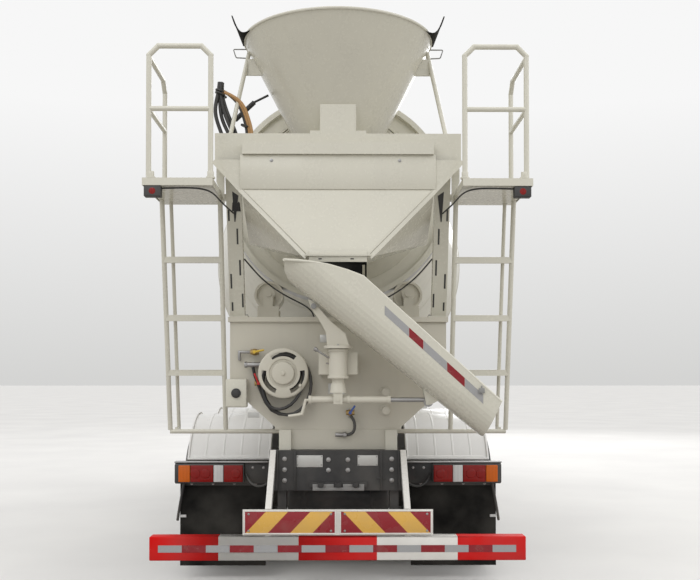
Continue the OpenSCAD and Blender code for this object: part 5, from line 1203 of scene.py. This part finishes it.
def on_drum(distance, angle, radius):
    """A point at a distance forward along the drum's axis, at an angle round it."""
    ahead = Vector((0, cos(TILT), -sin(TILT)))
    down = Vector((0, -sin(TILT), -cos(TILT)))
    side = Vector((1, 0, 0))
    return DRUM_FOOT + ahead * distance + (side * cos(angle) + down * sin(angle)) * radius


def drum_band(name, line):
    """A closed section of (radius, distance along the axis) turned about the drum's axis."""
    return spun(name, line, 128, lambda r, s, a: on_drum(s, a, r), outward=True)


def drum_radius(s):
    """The drum's outer radius at a distance along its axis."""
    for (r0, s0), (r1, s1) in zip(DRUM_PROFILE, DRUM_PROFILE[1:]):
        if s0 <= s <= s1:
            return r0 + (r1 - r0) * (s - s0) / (s1 - s0)
    return DRUM_PROFILE[-1][0]


def drum_details():
    """Welded girth seams, the worn running band, the bolted hatch cover and mouth stiffener."""
    seams = []
    for s in (-1.30, -0.78, -0.002, 0.65, 1.302, 1.95, 2.548):
        r = drum_radius(s)
        seams.append(drum_band("seam", [(r - 0.002, s - 0.012), (r + 0.003, s - 0.005), (r + 0.0036, s),
                                        (r + 0.003, s + 0.005), (r - 0.002, s + 0.012)]))
    wide = 0.02
    for s in (-2.075, -1.925):
        r = drum_radius(s)
        seams.append(drum_band("hoop", [(r - 0.002, s - wide), (r + 0.010, s - wide), (r + 0.012, s + wide),
                                        (r - 0.002, s + wide)]))
    fitted("drum_seams", seams, "drum", drum_paint)
    running_band = drum_band("drum_running_band", [(0.855, -1.799), (0.8604, -1.797), (0.8606, -1.749),
                                                   (0.8604, -1.701), (0.855, -1.699)])
    settle(running_band, "drum", bare_steel)
    blades = []
    steps, thick, tall = 48, 0.006, 0.26
    for start in (0.0, pi):
        rings = []
        for k in range(steps + 1):
            s = -2.10 + 0.86 * k / steps
            a = start + 2.0 * pi * k / steps + 0.6
            r = drum_radius(min(s, -1.2)) - 0.012
            rings.append([on_drum(s, a, r - tall), on_drum(s, a, r),
                          on_drum(s + thick, a, r), on_drum(s + thick, a, r - tall)])
        blades.append(lofted("blade", rings))
    fitted("drum_spiral_blades", blades, "drum", blade_metal)
    spots = []
    hatch_at, hatch_turn, bolt_ring, skin_radius, cover_radius = 0.650, radians(-60), 0.225, 1.182, 1.1785
    for k in range(12):
        a = 2 * pi * k / 12
        s, turn = hatch_at + bolt_ring * sin(a), hatch_turn + bolt_ring * cos(a) / skin_radius
        p = on_drum(s, turn, cover_radius)
        spots.append((p, p - on_drum(s, turn, 1.0)))
    screwed("drum_hatch_bolts", spots, 0.014, 0.010, "drum")


# Cab and side equipment
def cab_trim():
    """Wipers, window seals, roof lamps, mirror glass, grille strips and grab rails."""
    wipers = []
    for x in (-0.52, 0.28):
        foot = Vector((x, 4.328, 2.020))
        tip = Vector((x + 0.46, 4.250, 2.300))
        wipers.append(drawn_tube("arm", [tuple(foot), tuple(foot + Vector((0.06, 0.012, 0.03))),
                                         tuple(tip - Vector((0.12, -0.025, 0.07)))], 0.006))
        wipers.append(drawn_tube("blade", [(x + 0.03, 4.327, 2.062), tuple(tip)], 0.0055, smooth=False))
        wipers.append(turned("pivot", foot + Vector((0, -0.02, 0)), foot + Vector((0, 0.018, 0.004)), 0.014, 0.003, 20))
    fitted("wipers", wipers, "cab", moulded_black)
    seals = []
    for (half_low, y_low, low), (half_top, y_top, top) in (((1.022, 4.300, 2.058), (0.942, 4.120, 2.692)),
                                                           ((0.452, 2.352, 2.078), (0.452, 2.352, 2.602))):
        seals.append(drawn_tube("seal", [(-half_low, y_low, low), (half_low, y_low, low), (half_top, y_top, top),
                                         (-half_top, y_top, top), (-half_low, y_low, low)], 0.008, smooth=False))
    fitted("window_seals", seals, "cab", moulded_black)
    marks = [slab("mark", (x - 0.06, 3.900, 2.868), (x + 0.06, 3.955, 2.900), 0.008, 3)
             for x in (-0.80, -0.35, 0.0, 0.35, 0.80)]
    fitted("roof_marker_lamps", marks, "cab", amber_lens)
    faces = [slab("glass", (x - 0.068, 4.119, 2.070), (x + 0.068, 4.124, 2.650), 0.002) for x in (-1.365, 1.365)]
    fitted("mirror_faces", faces, "cab", mirror_silver)
    strips = [slab("strip", (-0.722, 4.366, z), (0.722, 4.372, z + 0.016), 0.002) for z in (1.275, 1.440, 1.610)]
    fitted("grille_strips", strips, "cab", rim_paint)
    line = ((1.195, 1.500), (1.235, 1.520), (1.240, 1.700), (1.225, 2.150), (1.190, 2.180))
    grips = [drawn_tube("grab", [(side * x, 2.970, z) for x, z in line], 0.013) for side in (-1, 1)]
    fitted("cab_grab_rails", grips, "cab", moulded_black)


def side_equipment():
    """Tank straps and filler cap, battery lid ribs, step treads, air tank bands and intake slats."""
    straps, half, thick, tank_x, tank_z = [], 0.025, 0.006, -0.85, 0.73
    outline = ((-0.620, 0.9715), (-1.090, 0.9715), (-1.140, 0.950), (-1.1615, 0.900), (-1.1615, 0.560),
               (-1.140, 0.510), (-1.090, 0.4885), (-0.620, 0.4885))
    for y in (0.450, 0.800, 1.150):
        rings = []
        for x, z in outline:
            out = Vector((x - tank_x, 0, z - tank_z)).normalized() * thick
            rings.append([(x, y - half, z), (x + out.x, y - half, z + out.z), (x + out.x, y + half, z + out.z),
                          (x, y + half, z)])
        straps.append(lofted("strap", rings))
    straps.append(turned("neck", (-0.95, 0.62, 0.965), (-0.95, 0.62, 0.995), 0.045, 0.004, 32))
    straps.append(turned("cap", (-0.95, 0.62, 0.992), (-0.95, 0.62, 1.020), 0.055, 0.008, 32))
    for z in (0.610, 0.880):
        for y in (-0.10, 0.22, 0.48):
            straps.append(turned("band", (0.78, y, z), (0.78, y + 0.03, z), 0.119, 0.003, 48))
    fitted("tank_bands", straps, "chassis", tank_metal)
    lid = [slab("rib", (0.500, y, 0.924), (1.070, y + 0.020, 0.934), 0.004)
           for y in [0.74 + 0.108 * k for k in range(6)]]
    lid.append(slab("latch", (1.098, 0.96, 0.840), (1.110, 1.07, 0.930), 0.004))
    for k in range(4):
        lid.append(slab("slat", (1.078, 0.76, 0.640 + 0.055 * k), (1.088, 1.27, 0.655 + 0.055 * k), 0.003))
    fitted("battery_box_ribs", lid, "chassis", moulded_black)
    treads = []
    for side in (-1, 1):
        for z in (0.390, 0.680):
            for k in range(9):
                x = side * (0.955 + 0.03 * k)
                treads.append(slab("tread", (x - 0.005, 3.700, z), (x + 0.005, 4.030, z + 0.006), 0.001, 1))
    fitted("step_treads", treads, "chassis", bare_steel)
    slats = [slab("slat", (0.696, 1.945, z), (1.044, 2.255, z + 0.012), 0.003)
             for z in [2.540 + 0.038 * k for k in range(8)]]
    fitted("intake_slats", slats, "chassis", moulded_black)
    bands = []
    for x in (-0.86, -0.20, 0.46):
        bands.append(ring_skin("band", [(0.2195, -0.025), (0.226, -0.022), (0.226, 0.022), (0.2195, 0.025)], 64,
                               (x, 1.985, 1.480)))
    bands.append(turned("cap", (0, 1.985, 1.745), (0, 1.985, 1.765), 0.055, 0.006, 36))
    bands.append(turned("gauge", (0.571, 1.900, 1.340), (0.571, 1.900, 1.620), 0.008, 0.001, 16))
    fitted("water_tank_bands", bands, "chassis", body_paint)


def cushion(name, half, crown, seams):
    """A stuffed cushion about the origin: soft corners, a crowned face (+Z) and sewn channels across it."""
    squareness, channel_depth, channel_width = 10, 0.012, 0.05
    bare()
    bpy.ops.mesh.primitive_cube_add(size=2)
    piece = named(name)
    bpy.ops.object.mode_set(mode="EDIT")
    bpy.ops.mesh.select_all(action="SELECT")
    bpy.ops.mesh.subdivide(number_cuts=23)
    bpy.ops.object.mode_set(mode="OBJECT")
    for vertex in piece.data.vertices:
        u, v, w = vertex.co
        soft = (abs(u) ** squareness + abs(v) ** squareness + abs(w) ** squareness) ** (1 / squareness)
        rise = 0.0
        if w > 0:
            rise = crown * (1 - u * u) * (1 - v * v)
            rise -= sum(channel_depth * exp(-((v - seam) / channel_width) ** 2) for seam in seams)
        vertex.co = (u / soft * half[0], v / soft * half[1], w / soft * half[2] + rise)
    return piece


def seats():
    """Seat, back and head cushions of both cabin seats."""
    for side, label in ((-1, "left"), (1, "right")):
        seat = Matrix.Translation((side * 0.640, 3.170, 1.570))
        back = Matrix.Translation((side * 0.640, 2.930, 1.600)) @ Matrix.Rotation(radians(10), 4, "X")
        upright = Matrix.Rotation(radians(-90), 4, "X")
        behind = back @ Matrix.Translation((0, 0, 0.310)) @ upright
        above = back @ Matrix.Translation((0, -0.0025, 0.710)) @ upright
        for part, half, crown, seams, place in (
                ("seat_cushion", (0.280, 0.269, 0.079), 0.012, (-0.45, 0.0, 0.45), seat),
                ("back_cushion", (0.269, 0.347, 0.067), 0.012, (-0.5, 0.0, 0.5), behind),
                ("head_cushion", (0.146, 0.101, 0.054), 0.006, (), above)):
            piece = cushion(f"{part}_{label}", half, crown, seams)
            piece.data.transform(place)
            settle(piece, "cab", seat_cloth, 60)


seats()
drum_details()
cab_trim()
side_equipment()


# Floor, light and camera
def backdrop():
    """A wide pale floor."""
    bare()
    bpy.ops.mesh.primitive_plane_add(size=400, location=(0, 0, 0))
    floor = named("studio_floor")
    material, tree, shader = new_material("Pale studio floor")
    shader.inputs["Roughness"].default_value = 0.9
    coords = own_coords(tree)
    tone = mixed(tree, spread(tree, grain(tree, coords, 0.6, 5.0), 0.3, 0.7), (0.74, 0.73, 0.71), (0.68, 0.67, 0.655))
    # The camera sees a pale floor, and the light that bounces up is as dull as off worn paving
    ray = shader_node(tree, "ShaderNodeLightPath")
    tone = mixed(tree, ray.outputs["Is Camera Ray"], (0.42, 0.405, 0.38), tone)
    tree.links.new(tone, shader.inputs["Base Color"])
    floor.data.materials.append(material)


def sky_light(strength):
    """A soft even dome that the camera sees as pale grey white."""
    world = bpy.data.worlds.new("Overcast dome")
    scene.world = world
    world.use_nodes = True
    tree = world.node_tree
    tree.nodes.clear()
    out = shader_node(tree, "ShaderNodeOutputWorld")
    sky = shader_node(tree, "ShaderNodeTexCoord").outputs["Generated"]
    height = shader_node(tree, "ShaderNodeSeparateXYZ")
    tree.links.new(sky, height.inputs["Vector"])
    dome_tone = mixed(tree, spread(tree, height.outputs["Z"], -0.1, 0.9), (0.62, 0.62, 0.62), (1.0, 1.0, 1.0))
    dome = shader_node(tree, "ShaderNodeBackground")
    tree.links.new(dome_tone, dome.inputs["Color"])
    dome.inputs["Strength"].default_value = strength
    seen = shader_node(tree, "ShaderNodeBackground")
    far_tone = mixed(tree, spread(tree, height.outputs["Z"], 0.0, 0.28), (0.66, 0.66, 0.65), (0.93, 0.93, 0.93))
    tree.links.new(far_tone, seen.inputs["Color"])
    ray = shader_node(tree, "ShaderNodeLightPath")
    straight = sums(tree, "MAXIMUM", ray.outputs["Is Camera Ray"], ray.outputs["Is Transmission Ray"])
    straight = sums(tree, "MAXIMUM", straight, sums(tree, "MULTIPLY", ray.outputs["Is Glossy Ray"], 0.6))
    blend = shader_node(tree, "ShaderNodeMixShader")
    tree.links.new(straight, blend.inputs["Fac"])
    tree.links.new(dome.outputs["Background"], blend.inputs[1])
    tree.links.new(seen.outputs["Background"], blend.inputs[2])
    tree.links.new(blend.outputs["Shader"], out.inputs["Surface"])


def lamp(name, place, aim, width, power):
    """A large soft lamp turned toward a point."""
    data = bpy.data.lights.new(name, "AREA")
    data.size = width
    data.energy = power
    light = bpy.data.objects.new(name, data)
    light.location = place
    light.rotation_euler = (Vector(aim) - Vector(place)).to_track_quat("-Z", "Y").to_euler()
    scene.collection.objects.link(light)


backdrop()
sky_light(1.2)
lamp("High soft lamp behind the truck", (-6, -13, 11), (0, -2, 1.8), 9.0, 300)
lamp("Soft lamp on the right", (11, -8, 8), (0, -2, 1.8), 8.0, 260)
lamp("Soft lamp on the cab", (5, 13, 9), (0, 2, 1.8), 8.0, 480)

eye = bpy.data.cameras.new("Photographer")
eye.lens = 47.3
eye.sensor_width = 36.0
eye.shift_y = 0.1007
eye.clip_end = 300.0
camera = bpy.data.objects.new("Photographer", eye)
camera.location = (0.02, -10.25, 1.5)
camera.rotation_euler = (radians(91.15), 0.0, radians(-0.56))
scene.collection.objects.link(camera)
scene.camera = camera
scene.view_settings.view_transform = "Standard"
